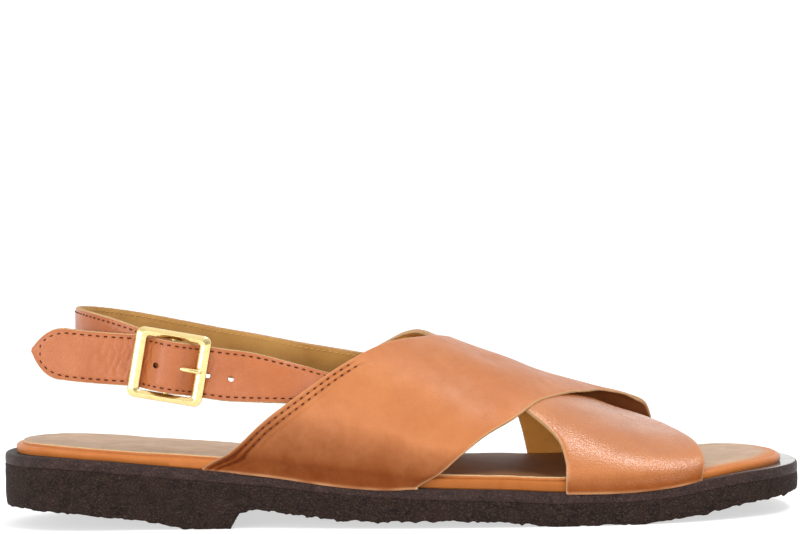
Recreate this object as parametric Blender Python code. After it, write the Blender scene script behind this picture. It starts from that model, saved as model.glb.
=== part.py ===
"""Right-foot leather sandal: two crossed vamp straps, a buckled heel sling and a crepe rubber sole.

Sizes are in millimetres and angles in degrees; the meshes are made in metres. A station is a distance
along the shoe from the back of the heel. +X points to the toe, +Y to the inner (medial) side, +Z up,
and the origin is on the floor under the middle of the sole.
"""
import math
from collections import namedtuple

import bmesh
import bpy
from mathutils import Vector

MM = 0.001
SEAT_GAP = 0.3          # clearance between pieces that are cemented or sewn together
LATERAL, MEDIAL = -1, 1

# Sole outline: half widths on each side and the height of the midsole's top
LENGTH = 267.4
HEEL_ROUND, HEEL_POWER = 34.0, 2.2
TOE_ROUND, TOE_POWER = 60.0, 2.6
END_STEPS = 10

SoleRow = namedtuple("SoleRow", "station lateral medial top")
SOLE = [
    SoleRow(0, 30.0, 30.0, 24.4),
    SoleRow(16, 30.4, 30.6, 24.1),
    SoleRow(35, 31.0, 31.0, 22.8),
    SoleRow(52, 31.2, 30.6, 21.0),
    SoleRow(68, 31.6, 29.9, 19.3),
    SoleRow(90, 33.5, 28.5, 17.2),
    SoleRow(118, 39.0, 30.0, 14.3),
    SoleRow(145, 43.0, 35.0, 12.6),
    SoleRow(167, 44.6, 40.3, 11.8),
    SoleRow(187, 45.2, 44.0, 10.8),
    SoleRow(205, 44.6, 45.2, 10.9),
    SoleRow(220, 43.2, 45.3, 11.7),
    SoleRow(232, 41.5, 45.1, 13.4),
    SoleRow(246, 40.0, 44.4, 15.1),
    SoleRow(268, 39.0, 43.5, 16.2),
]

# Underside: heel with a lifted back, breast, arch, ball and toe spring
TreadRow = namedtuple("TreadRow", "station height")
TREAD = [
    TreadRow(0, 7.1),
    TreadRow(15, 6.7),
    TreadRow(27, 5.7),
    TreadRow(51, 2.8),
    TreadRow(67, 0.0),
    TreadRow(78.2, 0.0),
    TreadRow(79, 3.0),
    TreadRow(82.3, 5.6),
    TreadRow(86, 6.3),
    TreadRow(95, 5.0),
    TreadRow(110, 3.2),
    TreadRow(122, 2.4),
    TreadRow(145, 2.3),
    TreadRow(158, 1.7),
    TreadRow(172, 1.1),
    TreadRow(187, 0.0),
    TreadRow(206, 0.0),
    TreadRow(218, 0.8),
    TreadRow(230, 2.2),
    TreadRow(240, 4.2),
    TreadRow(255, 5.8),
    TreadRow(268, 7.2),
]
MIDSOLE_THICK = 3.4
SOCK_THICK = 0.7
SOCK_INSET = 2.2

# Sides of the sole's layers: inset from the layer's outline, and rise from its underside or its top
EdgeRow = namedtuple("EdgeRow", "inset rise")
OUTSOLE_FOOT = [EdgeRow(1.2, 0.0), EdgeRow(0.3, 0.36), EdgeRow(0.0, 1.2)]
OUTSOLE_HEAD = [EdgeRow(0.3, -0.8), EdgeRow(0.9, 0.0)]
MIDSOLE_FOOT = [EdgeRow(0.7, 0.0), EdgeRow(0.3, 0.5)]
MIDSOLE_HEAD = [EdgeRow(0.3, -0.6), EdgeRow(0.8, 0.0)]
FOOTBED_FOOT = [EdgeRow(0.0, 0.0)]
FOOTBED_HEAD = [EdgeRow(0.0, -1.2), EdgeRow(0.42, -0.42), EdgeRow(1.2, 0.0)]
SOCK_FOOT = SOCK_HEAD = [EdgeRow(0.0, 0.0)]

# Footbed: how much further in its edge lies towards the heel and the toe, and its thickness
FootbedRow = namedtuple("FootbedRow", "station extra thick")
FOOTBED = [
    FootbedRow(0, 0.9, 2.9),
    FootbedRow(12, 0.9, 2.6),
    FootbedRow(40, 0.0, 2.4),
    FootbedRow(70, 0.0, 3.1),
    FootbedRow(190, 0.0, 3.2),
    FootbedRow(225, 0.0, 2.4),
    FootbedRow(236, 0.0, 2.3),
    FootbedRow(262, 2.6, 2.2),
    FootbedRow(268, 2.6, 2.2),
]

# Last: height and sideways offset of its ridge over the sole, and the squareness of its sections
LastRow = namedtuple("LastRow", "station ridge offset power")
LAST = [
    LastRow(60, 68.0, 2.0, 2.5),
    LastRow(90, 62.5, 3.0, 2.5),
    LastRow(110, 57.8, 4.0, 2.4),
    LastRow(130, 53.4, 5.0, 2.4),
    LastRow(145, 47.9, 5.0, 2.4),
    LastRow(160, 42.4, 6.0, 2.3),
    LastRow(175, 37.4, 6.0, 2.3),
    LastRow(187, 32.0, 7.0, 2.3),
    LastRow(202, 25.0, 8.0, 2.3),
    LastRow(212, 20.9, 8.0, 2.3),
    LastRow(220, 18.1, 8.0, 2.3),
    LastRow(232, 15.2, 8.0, 2.3),
    LastRow(245, 13.5, 8.0, 2.3),
]
FEATHER_INSET = 1.0     # from the sole's edge in to the straps' outer faces

# Vamp straps: stations of the two edges at angles round the last, from 0 (lateral sole) to 180 (medial sole)
UPPER_WALL = 1.8
ANGLE_STEPS, ACROSS_STEPS = 40, 9
ANGLE_CROWDING = 0.6    # closer steps near the sole than on the instep
StrapRow = namedtuple("StrapRow", "angle back front")
OVER_STRAP = [
    StrapRow(0, 69.0, 139.0),
    StrapRow(3, 78.0, 145.6),
    StrapRow(10, 87.5, 152.6),
    StrapRow(20, 98.8, 160.5),
    StrapRow(35, 112.4, 172.5),
    StrapRow(50, 125.2, 180.2),
    StrapRow(65, 136.4, 188.2),
    StrapRow(80, 145.7, 195.8),
    StrapRow(95, 151.5, 202.5),
    StrapRow(112, 158.0, 212.5),
    StrapRow(132, 166.5, 220.8),
    StrapRow(152, 175.0, 224.0),
    StrapRow(180, 179.5, 225.0),
]
UNDER_STRAP = [
    StrapRow(0, 186.4, 231.0),
    StrapRow(12, 186.8, 231.8),
    StrapRow(20, 186.2, 232.2),
    StrapRow(26, 185.2, 232.1),
    StrapRow(31, 183.2, 231.9),
    StrapRow(36, 179.5, 231.6),
    StrapRow(44, 171.8, 230.8),
    StrapRow(53, 165.5, 229.2),
    StrapRow(70, 154.5, 224.8),
    StrapRow(90, 144.0, 218.0),
    StrapRow(111, 137.0, 206.5),
    StrapRow(125, 131.0, 194.5),
    StrapRow(136, 124.0, 184.0),
    StrapRow(150, 113.0, 171.0),
    StrapRow(165, 101.0, 158.5),
    StrapRow(175, 91.0, 147.5),
    StrapRow(180, 81.0, 139.0),
]
JOIN_DEPTH = 0.8        # how far the over strap is bedded into the under strap where they are sewn
CLIMB = 11.0            # run over which the over strap climbs onto the under strap
LiftRow = namedtuple("LiftRow", "angle rise")
FRONT_LIFT = [          # free standing of the over strap's front edge on the instep
    LiftRow(0, 0.0),
    LiftRow(55, 0.0),
    LiftRow(80, 1.5),
    LiftRow(95, 3.6),
    LiftRow(112, 6.2),
    LiftRow(128, 7.6),
    LiftRow(148, 5.4),
    LiftRow(168, 0.0),
    LiftRow(180, 0.0),
]
FRONT_LIFT_FROM = 0.5   # share of the strap's width, from its back edge, where that rise begins

# Narrow straps and buckle
STRAP_WIDTH, STRAP_THICK = 17.0, 2.0
TIP_LONG, TIP_POWER, TIP_FULLNESS, TIP_BLUNT = 10.0, 2.0, 0.8, 0.12
SEWN_SHARE, SEWN_TAPER = 0.62, 42.0     # width of the buckle strap's sewn end, and the run where it narrows
HeldRow = namedtuple("HeldRow", "station height")
FreeRow = namedtuple("FreeRow", "station side height lean")
SLING_SEWN = [
    HeldRow(122, 45.2),
    HeldRow(111, 47.3),
    HeldRow(99.5, 49.5),
]
SLING_FREE = [
    FreeRow(84, 24.8, 52.4, -5),
    FreeRow(70, 26.2, 55.0, -2),
    FreeRow(54, 26.4, 58.4, 0),
    FreeRow(43, 24.0, 60.8, 0),
    FreeRow(33.5, 17.0, 62.8, 0),
    FreeRow(26.8, 6.0, 64.0, 0),
    FreeRow(26.3, -6.0, 64.0, 0),
    FreeRow(30.9, -16.5, 63.0, 0),
    FreeRow(39, -23.6, 60.8, 0),
    FreeRow(47, -26.4, 57.8, 0),
]
STRAP_SEWN = [
    HeldRow(118, 43.5),
    HeldRow(108, 45.0),
    HeldRow(100, 46.5),
]
STRAP_FREE = [
    FreeRow(86, -28.6, 48.9, 6),
    FreeRow(77, -29.0, 50.0, 1),
]
STRAP_TAIL = [
    FreeRow(42, -29.0, 56.0, 0),
    FreeRow(33, -29.2, 56.9, 0),
    FreeRow(24, -29.0, 58.1, 0),
    FreeRow(14.2, -28.5, 59.6, 0),
]
CHAPE_THICK = 1.3       # skived end of the sling, folded round the buckle's centre bar
HOLD_GAP = 0.6          # between a narrow strap's sewn end and the vamp strap over it
WALL_SLANT = 1.06       # thickness of a vamp strap measured sideways, as a share of its wall
BUCKLE_STATION, BUCKLE_SIDE, BUCKLE_HEIGHT = 59.2, -31.5, 53.3
BUCKLE_TILT = 10.8
FRAME_LONG, FRAME_HIGH, FRAME_THICK = 24.6, 23.2, 2.4
FRAME_SIDE_BAR, FRAME_END_BAR = 2.7, 3.6
FRAME_ROUND, FRAME_INNER_ROUND = 2.6, 0.9
BAR_RADIUS, BAR_RECESS, BAR_END_INSET = 1.1, 1.4, 0.9
STRAP_LEVEL = 1.5       # half length of the buckle strap's level stretches over and under the bars
CHAPE_FOLD_FROM, CHAPE_FOLD_TO, CHAPE_FOLD_STEPS = 90.0, -113.0, 11
CHAPE_SLOT_FROM, CHAPE_SLOT_TO, CHAPE_SLOT_WIDTH = -3.4, 4.5, 3.2
SLOT_DEPTH = 6.0
PRONG_RING, PRONG_WIDTH, PRONG_RING_STEPS = 2.5, 2.4, 16
ProngRow = namedtuple("ProngRow", "along out radius")
PRONG_SHANK = [         # middle of the shank in the buckle's frame, and its radius
    ProngRow(1.0, 0.10, 0.8),
    ProngRow(2.2, 0.75, 0.8),
    ProngRow(3.6, 1.55, 0.8),
    ProngRow(5.0, 2.15, 0.8),
    ProngRow(6.6, 2.50, 0.8),
    ProngRow(8.4, 2.40, 0.8),
    ProngRow(10.2, 2.30, 0.72),
    ProngRow(10.9, 2.30, 0.4),
]
HOLE_RADIUS = 1.0
HoleRow = namedtuple("HoleRow", "along up")
HOLES = [
    HoleRow(-4.2, -0.2),
    HoleRow(12.6, -0.9),
    HoleRow(20.3, -0.8),
]
PRONG_SLOT_FROM, PRONG_SLOT_TO, PRONG_SLOT_WIDTH = 1.4, 6.3, 2.5

# Material, linear colour, roughness and metallic value of each piece
Finish = namedtuple("Finish", "colour roughness metallic")
FINISHES = {
    "outsole": Finish((0.030, 0.017, 0.014), 0.85, 0.0),
    "midsole": Finish((0.060, 0.032, 0.030), 0.65, 0.0),
    "footbed": Finish((0.480, 0.200, 0.070), 0.50, 0.0),
    "insole_sock": Finish((0.330, 0.230, 0.150), 0.80, 0.0),
    "upper": Finish((0.360, 0.140, 0.060), 0.42, 0.0),
    "heel_sling": Finish((0.370, 0.150, 0.085), 0.42, 0.0),
    "buckle_strap": Finish((0.375, 0.150, 0.080), 0.42, 0.0),
    "buckle_frame": Finish((0.800, 0.600, 0.280), 0.18, 1.0),
    "buckle_prong": Finish((0.780, 0.580, 0.270), 0.20, 1.0),
}
SHARP_ANGLE = math.radians(35)


class Profile:
    """Smooth curve through one column of a table, with no overshoot between its rows."""

    def __init__(self, rows, column):
        self.at = [row[0] for row in rows]
        self.value = [getattr(row, column) for row in rows]
        steps = [
            (after - before) / (end - start)
            for before, after, start, end in zip(self.value, self.value[1:], self.at, self.at[1:])
        ]
        self.slope = [steps[0]]
        for before, after in zip(steps, steps[1:]):
            same_way = before * after > 0
            self.slope.append(2 * before * after / (before + after) if same_way else 0.0)
        self.slope.append(steps[-1])

    def __call__(self, at):
        at = min(max(at, self.at[0]), self.at[-1])
        row = max(i for i in range(len(self.at) - 1) if self.at[i] <= at)
        span = self.at[row + 1] - self.at[row]
        t = (at - self.at[row]) / span
        start, end = self.value[row], self.value[row + 1]
        bend = (1 - t) * span * self.slope[row] - t * span * self.slope[row + 1]
        return start + (end - start) * t * t * (3 - 2 * t) + t * (1 - t) * bend


def smooth(t):
    """Ease from 0 to 1 as t goes from 0 to 1."""
    t = min(max(t, 0.0), 1.0)
    return t * t * (3 - 2 * t)


def blend(start, end, t):
    return start + (end - start) * t


lateral_width = Profile(SOLE, "lateral")
medial_width = Profile(SOLE, "medial")
sole_top = Profile(SOLE, "top")
tread = Profile(TREAD, "height")
ridge_height = Profile(LAST, "ridge")
ridge_offset = Profile(LAST, "offset")
section_power = Profile(LAST, "power")
footbed_extra = Profile(FOOTBED, "extra")
footbed_thick = Profile(FOOTBED, "thick")
front_lift = Profile(FRONT_LIFT, "rise")


# Mesh builders
def make_object(name, points, faces):
    """Make a closed mesh object from points in millimetres, with its faces turned outwards."""
    mesh = bpy.data.meshes.new(name)
    mesh.from_pydata([Vector(point) * MM for point in points], [], faces)
    shape = bmesh.new()
    shape.from_mesh(mesh)
    bmesh.ops.recalc_face_normals(shape, faces=shape.faces)
    shape.to_mesh(mesh)
    shape.free()
    mesh.shade_smooth()
    mesh.set_sharp_from_angle(angle=SHARP_ANGLE)
    thing = bpy.data.objects.new(name, mesh)
    bpy.context.scene.collection.objects.link(thing)
    return thing


def sheet_solid(name, front, back):
    """Close two matching grids of points, the faces of a bent sheet, into one solid."""
    rows, columns = len(front), len(front[0])
    points = [point for grid in (front, back) for row in grid for point in row]

    def index(grid, row, column):
        return (grid * rows + row) * columns + column

    faces = []
    for row in range(rows - 1):
        for column in range(columns - 1):
            for grid in (0, 1):
                faces.append((
                    index(grid, row, column), index(grid, row, column + 1),
                    index(grid, row + 1, column + 1), index(grid, row + 1, column),
                ))
    rim = [(0, column) for column in range(columns)]
    rim += [(row, columns - 1) for row in range(1, rows)]
    rim += [(rows - 1, column) for column in range(columns - 2, -1, -1)]
    rim += [(row, 0) for row in range(rows - 2, 0, -1)]
    for here, there in zip(rim, rim[1:] + rim[:1]):
        faces.append((index(0, *here), index(0, *there), index(1, *there), index(1, *here)))
    return make_object(name, points, faces)


def ring_solid(name, rings):
    """Join equal closed rings of points, each to the next and the last to the first."""
    count = len(rings[0])
    points = [point for ring in rings for point in ring]
    faces = []
    for ring in range(len(rings)):
        after = (ring + 1) % len(rings)
        for k in range(count):
            step = (k + 1) % count
            faces.append((
                ring * count + k, ring * count + step, after * count + step, after * count + k,
            ))
    return make_object(name, points, faces)


def rod(name, path, radii, sideways, sides=10):
    """Sweep a round section along a flat path; sideways is the direction square to that path's plane."""
    points = []
    for i, (centre, radius) in enumerate(zip(path, radii)):
        along = (path[min(i + 1, len(path) - 1)] - path[max(i - 1, 0)]).normalized()
        across = along.cross(sideways).normalized()
        for k in range(sides):
            turn = 2 * math.pi * k / sides
            points.append(centre + (across * math.cos(turn) + sideways * math.sin(turn)) * radius)
    last = len(path) - 1
    faces = [tuple(range(sides)), tuple(range(last * sides, (last + 1) * sides))]
    for i in range(last):
        for k in range(sides):
            step = (k + 1) % sides
            faces.append((i * sides + k, i * sides + step, (i + 1) * sides + step, (i + 1) * sides + k))
    return make_object(name, points, faces)


def combine(target, helper, operation):
    """Join or cut the target with a helper object, which then stays out of the part."""
    helper.hide_render = True
    helper.display_type = "WIRE"
    modifier = target.modifiers.new(operation.title() + " " + helper.name, "BOOLEAN")
    modifier.operation = operation
    modifier.solver = "EXACT"
    modifier.object = helper


# Sole
def end_taper(station):
    """Share of the half width left where the heel and the toe round off."""
    if station < HEEL_ROUND:
        reach, power = (HEEL_ROUND - station) / HEEL_ROUND, HEEL_POWER
    elif station > LENGTH - TOE_ROUND:
        reach, power = (station - LENGTH + TOE_ROUND) / TOE_ROUND, TOE_POWER
    else:
        return 1.0
    return max(0.0, 1 - reach ** power) ** (1 / power)


def half_width(station, side):
    width = lateral_width(station) if side == LATERAL else medial_width(station)
    return width * end_taper(station)


def sole_stations():
    """Stations close together at the round ends, plus every row of the two sole tables."""
    steps = [1 - math.cos(math.pi / 2 * k / END_STEPS) for k in range(1, END_STEPS + 1)]
    stations = {round(HEEL_ROUND * step, 3) for step in steps}
    stations |= {round(LENGTH - TOE_ROUND * step, 3) for step in steps}
    middle = (HEEL_ROUND, LENGTH - TOE_ROUND)
    stations |= {float(row.station) for row in SOLE + TREAD if middle[0] < row.station < middle[1]}
    return sorted(stations)


def outline():
    """Sole edge seen from above: heel point, medial side, toe point, lateral side."""
    stations = sole_stations()
    medial = [Vector((s, half_width(s, MEDIAL))) for s in stations]
    lateral = [Vector((s, -half_width(s, LATERAL))) for s in stations]
    return [Vector((0.0, 0.0))] + medial + [Vector((LENGTH, 0.0))] + lateral[::-1]


def inset_outline(inset):
    """The outline moved in by a width that may change with the station."""
    edge = outline()
    moved = []
    for i, point in enumerate(edge):
        along = (edge[(i + 1) % len(edge)] - edge[i - 1]).normalized()
        inward = Vector((along.y, -along.x))
        moved.append(point + inward * inset(point.x))
    return moved


def layer(name, inset, underside, foot, top, head):
    """Sole layer inside the outline; its side follows the foot rows, then the head rows."""
    levels = [(underside, row) for row in foot] + [(top, row) for row in head]
    points = []
    for height, row in levels:
        for spot in inset_outline(lambda station: inset(station) + row.inset):
            points.append((spot.x - LENGTH / 2, spot.y, height(spot.x) + row.rise))
    count = len(points) // len(levels)
    pairs = count // 2 - 1
    faces = []
    for level in range(len(levels) - 1):
        for k in range(count):
            step = (k + 1) % count
            low, high = level * count, (level + 1) * count
            faces.append((low + k, low + step, high + step, high + k))
    for start in (0, (len(levels) - 1) * count):
        medial = [start + 1 + k for k in range(pairs)]
        lateral = [start + count - 1 - k for k in range(pairs)]
        toe = start + 1 + pairs
        faces.append((start, medial[0], lateral[0]))
        faces.append((medial[-1], toe, lateral[-1]))
        for k in range(pairs - 1):
            faces.append((medial[k], medial[k + 1], lateral[k + 1], lateral[k]))
    return make_object(name, points, faces)


def no_inset(station):
    return 0.0


def outsole_top(station):
    return sole_top(station) - MIDSOLE_THICK - SEAT_GAP


def midsole_underside(station):
    return sole_top(station) - MIDSOLE_THICK


def footbed_inset(station):
    """The footbed ends just inside the vamp straps, and further in at the heel and the toe."""
    return FEATHER_INSET + UPPER_WALL + SEAT_GAP + footbed_extra(station)


def footbed_underside(station):
    return sole_top(station) + SEAT_GAP


def footbed_top(station):
    return footbed_underside(station) + footbed_thick(station)


def sock_inset(station):
    return footbed_inset(station) + SOCK_INSET


def sock_underside(station):
    return footbed_top(station) + SEAT_GAP


def sock_top(station):
    return sock_underside(station) + SOCK_THICK


def build_sole():
    """Crepe outsole, midsole, footbed and sock, one on the other."""
    layer("outsole", no_inset, tread, OUTSOLE_FOOT, outsole_top, OUTSOLE_HEAD)
    layer("midsole", no_inset, midsole_underside, MIDSOLE_FOOT, sole_top, MIDSOLE_HEAD)
    layer("footbed", footbed_inset, footbed_underside, FOOTBED_FOOT, footbed_top, FOOTBED_HEAD)
    layer("insole_sock", sock_inset, sock_underside, SOCK_FOOT, sock_top, SOCK_HEAD)


# Upper
def last_point(station, angle):
    """Point on the last at a station and an angle round it; the straps' outer faces lie on it."""
    power = section_power(station)
    turn = math.radians(angle)
    side = LATERAL if angle <= 90 else MEDIAL
    ridge = ridge_offset(station)
    reach = side * (half_width(station, side) - FEATHER_INSET) - ridge
    across = ridge + reach * abs(math.cos(turn)) ** (2 / power)
    rise = ridge_height(station) * max(0.0, math.sin(turn)) ** (2 / power)
    return Vector((station - LENGTH / 2, across, sole_top(station) + SEAT_GAP + rise))


def last_normal(station, angle):
    """Outward direction at a point of the last."""
    step = 0.5
    along = last_point(station + step, angle) - last_point(station - step, angle)
    around = last_point(station, min(angle + step, 180.0)) - last_point(station, max(angle - step, 0.0))
    return along.cross(around).normalized()


def strap_edges(rows):
    return Profile(rows, "back"), Profile(rows, "front")


def step_angle(step):
    """Angle round the last of one step from sole to sole."""
    share = step / ANGLE_STEPS
    return 180.0 * (share - ANGLE_CROWDING * math.sin(2 * math.pi * share) / (2 * math.pi))


def vamp_strap(name, rows, lift):
    """One wide strap over the last, from sole to sole, raised from it by lift(station, angle, across)."""
    back_edge, front_edge = strap_edges(rows)
    outer, inner = [], []
    for i in range(ANGLE_STEPS + 1):
        angle = step_angle(i)
        outer_row, inner_row = [], []
        for j in range(ACROSS_STEPS + 1):
            across = j / ACROSS_STEPS
            station = blend(back_edge(angle), front_edge(angle), across)
            point, normal = last_point(station, angle), last_normal(station, angle)
            raised = lift(station, angle, across)
            outer_row.append(point + normal * raised)
            inner_row.append(point + normal * (raised - UPPER_WALL))
        outer.append(outer_row)
        inner.append(inner_row)
    return sheet_solid(name, outer, inner)


def over_lift(station, angle, across):
    """The over strap climbs onto the under strap, and its front edge stands free on the instep."""
    back_edge, front_edge = strap_edges(UNDER_STRAP)
    inside = min(station - back_edge(angle), front_edge(angle) - station)
    climb = smooth((inside + CLIMB) / CLIMB)
    near_front = smooth((across - FRONT_LIFT_FROM) / (1 - FRONT_LIFT_FROM))
    return climb * (UPPER_WALL - JOIN_DEPTH) + front_lift(angle) * near_front


def build_upper():
    upper = vamp_strap("upper", UNDER_STRAP, lambda station, angle, across: 0.0)
    over = vamp_strap("over_strap_guide", OVER_STRAP, over_lift)
    combine(upper, over, "UNION")


# Narrow straps
PathPoint = namedtuple("PathPoint", "centre up thick")


def held_point(row, side):
    """Centre and upward direction of a narrow strap that is sewn inside a vamp strap."""
    station, height = row.station, row.height

    def inner_face(at_height):
        share = (at_height - sole_top(station) - SEAT_GAP) / ridge_height(station)
        power = section_power(station)
        ridge = ridge_offset(station)
        reach = side * (half_width(station, side) - FEATHER_INSET) - ridge
        face = ridge + reach * (1 - share ** power) ** (1 / power)
        return face - side * (UPPER_WALL * WALL_SLANT + HOLD_GAP + STRAP_THICK / 2)

    low, high = inner_face(height - STRAP_WIDTH / 2), inner_face(height + STRAP_WIDTH / 2)
    up = Vector((0.0, high - low, STRAP_WIDTH)).normalized()
    return PathPoint(Vector((station - LENGTH / 2, (low + high) / 2, height)), up, STRAP_THICK)


def free_point(row):
    """Centre of a narrow strap between its ends; lean is the tilt of its upper edge towards +Y."""
    lean = math.radians(row.lean)
    up = Vector((0.0, math.sin(lean), math.cos(lean)))
    return PathPoint(Vector((row.station - LENGTH / 2, row.side, row.height)), up, STRAP_THICK)


def spline(points, steps):
    """Smooth run of path points through the given ones."""
    run = []
    for i in range(len(points) - 1):
        before, start = points[max(i - 1, 0)], points[i]
        end, after = points[i + 1], points[min(i + 2, len(points) - 1)]
        for k in range(steps):
            t = k / steps
            leave, arrive = (end.centre - before.centre) / 2, (after.centre - start.centre) / 2
            eased = smooth(t)
            bend = leave * t * (1 - t) ** 2 - arrive * t * t * (1 - t)
            run.append(PathPoint(
                start.centre.lerp(end.centre, eased) + bend,
                start.up.lerp(end.up, t),
                blend(start.thick, end.thick, t),
            ))
    return run + [points[-1]]


def ribbon(name, path, widths):
    """Flat strap along a path, as wide at each point as widths says."""
    outer, inner = [], []
    for i, point in enumerate(path):
        along = (path[min(i + 1, len(path) - 1)].centre - path[max(i - 1, 0)].centre).normalized()
        up = (point.up - along * point.up.dot(along)).normalized()
        out = along.cross(up).normalized()
        edges = [point.centre + up * (widths[i] * share) for share in (-0.5, 0.5)]
        outer.append([edge + out * (point.thick / 2) for edge in edges])
        inner.append([edge - out * (point.thick / 2) for edge in edges])
    return sheet_solid(name, outer, inner)


# Buckle, in its own frame: along the strap towards the toe, outwards from the foot, and up its bars
BUCKLE_CENTRE = Vector((BUCKLE_STATION - LENGTH / 2, BUCKLE_SIDE, BUCKLE_HEIGHT))
BUCKLE_ALONG = Vector((math.cos(math.radians(BUCKLE_TILT)), 0.0, -math.sin(math.radians(BUCKLE_TILT))))
BUCKLE_OUT = Vector((0.0, -1.0, 0.0))
BUCKLE_UP = Vector((math.sin(math.radians(BUCKLE_TILT)), 0.0, math.cos(math.radians(BUCKLE_TILT))))


def at_buckle(along, out, up=0.0):
    """Point near the buckle, from its frame's centre."""
    return BUCKLE_CENTRE + BUCKLE_ALONG * along + BUCKLE_OUT * out + BUCKLE_UP * up


CHAPE_RADIUS = BAR_RADIUS + SEAT_GAP + CHAPE_THICK / 2
STRAP_OVER_BAR = -BAR_RECESS + CHAPE_RADIUS + CHAPE_THICK / 2 + SEAT_GAP + STRAP_THICK / 2
STRAP_UNDER_FRAME = -(FRAME_THICK / 2 + SEAT_GAP + STRAP_THICK / 2)
END_BAR_REACH = (FRAME_LONG - FRAME_END_BAR) / 2


def strap_out(along):
    """How far out the buckle strap's middle lies: over the centre bar and under both end bars."""
    down = smooth((abs(along) - STRAP_LEVEL) / (END_BAR_REACH - 2 * STRAP_LEVEL))
    return blend(STRAP_OVER_BAR, STRAP_UNDER_FRAME, down)


def buckle_strap_path():
    """From under the near vamp strap back through the buckle to the tip."""
    sewn = [held_point(row, LATERAL) for row in STRAP_SEWN]
    path = spline(sewn + [free_point(row) for row in STRAP_FREE], steps=3)
    steps = 12
    reach = FRAME_LONG / 2
    for k in range(steps + 1):
        along = blend(reach, -reach, k / steps)
        path.append(PathPoint(at_buckle(along, strap_out(along)), BUCKLE_UP, STRAP_THICK))
    return path + spline([free_point(row) for row in STRAP_TAIL], steps=5)


def tip_width(from_tip):
    """Width of the buckle strap at a distance from its rounded point."""
    share = min(from_tip / TIP_LONG, 1.0)
    return STRAP_WIDTH * max(TIP_BLUNT, 1 - (1 - share) ** TIP_POWER) ** TIP_FULLNESS


def sewn_taper(from_end):
    """Share of the buckle strap's width at a distance from its sewn end."""
    return blend(SEWN_SHARE, 1.0, smooth(from_end / SEWN_TAPER))


def build_buckle_strap():
    path = buckle_strap_path()
    end, tip = path[0].centre, path[-1].centre
    widths = [
        tip_width((point.centre - tip).length) * sewn_taper((point.centre - end).length) for point in path
    ]
    strap = ribbon("buckle_strap", path, widths)
    for number, hole in enumerate(HOLES):
        centre = at_buckle(hole.along, strap_out(hole.along), hole.up)
        reach = BUCKLE_OUT * 2 * STRAP_THICK
        drill = rod(f"hole_{number}_cutter", [centre - reach, centre + reach], [HOLE_RADIUS] * 2, BUCKLE_UP)
        combine(strap, drill, "DIFFERENCE")
    slot = slot_cutter("prong_hole_cutter", PRONG_SLOT_FROM, PRONG_SLOT_TO, PRONG_SLOT_WIDTH)
    combine(strap, slot, "DIFFERENCE")


def slot_cutter(name, start, end, width):
    """Block that cuts a slot for the prong through a strap at the buckle."""
    sides = (-width / 2, width / 2)
    front = [[at_buckle(along, SLOT_DEPTH, up) for up in sides] for along in (start, end)]
    back = [[at_buckle(along, -SLOT_DEPTH, up) for up in sides] for along in (start, end)]
    return sheet_solid(name, front, back)


def heel_sling_path():
    """From under the far vamp strap round the heel, and round the buckle's centre bar."""
    sewn = [held_point(row, MEDIAL) for row in SLING_SEWN]
    path = spline(sewn + [free_point(row) for row in SLING_FREE], steps=5)
    for k in range(CHAPE_FOLD_STEPS + 1):
        turn = math.radians(blend(CHAPE_FOLD_FROM, CHAPE_FOLD_TO, k / CHAPE_FOLD_STEPS))
        centre = at_buckle(CHAPE_RADIUS * math.cos(turn), -BAR_RECESS - CHAPE_RADIUS * math.sin(turn))
        path.append(PathPoint(centre, BUCKLE_UP, CHAPE_THICK))
    return path


def build_heel_sling():
    path = heel_sling_path()
    sling = ribbon("heel_sling", path, [STRAP_WIDTH] * len(path))
    slot = slot_cutter("chape_slot_cutter", CHAPE_SLOT_FROM, CHAPE_SLOT_TO, CHAPE_SLOT_WIDTH)
    combine(sling, slot, "DIFFERENCE")


def rounded_loop(long, high, radius):
    """Corners and sides of a rounded rectangle, as pairs of lengths along and up."""
    corner_steps = 5
    loop = []
    for quarter in range(4):
        along = (long / 2 - radius) * (1, -1, -1, 1)[quarter]
        up = (high / 2 - radius) * (1, 1, -1, -1)[quarter]
        for k in range(corner_steps + 1):
            turn = math.radians(90 * quarter + 90 * k / corner_steps)
            loop.append((along + radius * math.cos(turn), up + radius * math.sin(turn)))
    return loop


FrameRow = namedtuple("FrameRow", "inward out")
FRAME_SECTION = [
    FrameRow(0.00, -0.35),
    FrameRow(0.00, 0.25),
    FrameRow(0.16, 0.44),
    FrameRow(0.52, 0.50),
    FrameRow(0.60, 0.30),
    FrameRow(0.90, 0.22),
    FrameRow(1.00, 0.05),
    FrameRow(1.00, -0.35),
    FrameRow(0.88, -0.50),
    FrameRow(0.12, -0.50),
]


def build_buckle_frame():
    """Square frame with a raised outer rim, and a centre bar set back towards the foot."""
    outside = rounded_loop(FRAME_LONG, FRAME_HIGH, FRAME_ROUND)
    inside = rounded_loop(FRAME_LONG - 2 * FRAME_END_BAR, FRAME_HIGH - 2 * FRAME_SIDE_BAR, FRAME_INNER_ROUND)
    rings = []
    for row in FRAME_SECTION:
        rings.append([
            at_buckle(blend(outer[0], inner[0], row.inward), row.out * FRAME_THICK,
                      blend(outer[1], inner[1], row.inward))
            for outer, inner in zip(outside, inside)
        ])
    frame = ring_solid("buckle_frame", rings)
    reach = FRAME_HIGH / 2 - BAR_END_INSET
    ends = [at_buckle(0, -BAR_RECESS, -reach), at_buckle(0, -BAR_RECESS, reach)]
    bar = rod("centre_bar_guide", ends, [BAR_RADIUS] * 2, BUCKLE_ALONG, sides=12)
    combine(frame, bar, "UNION")


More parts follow.
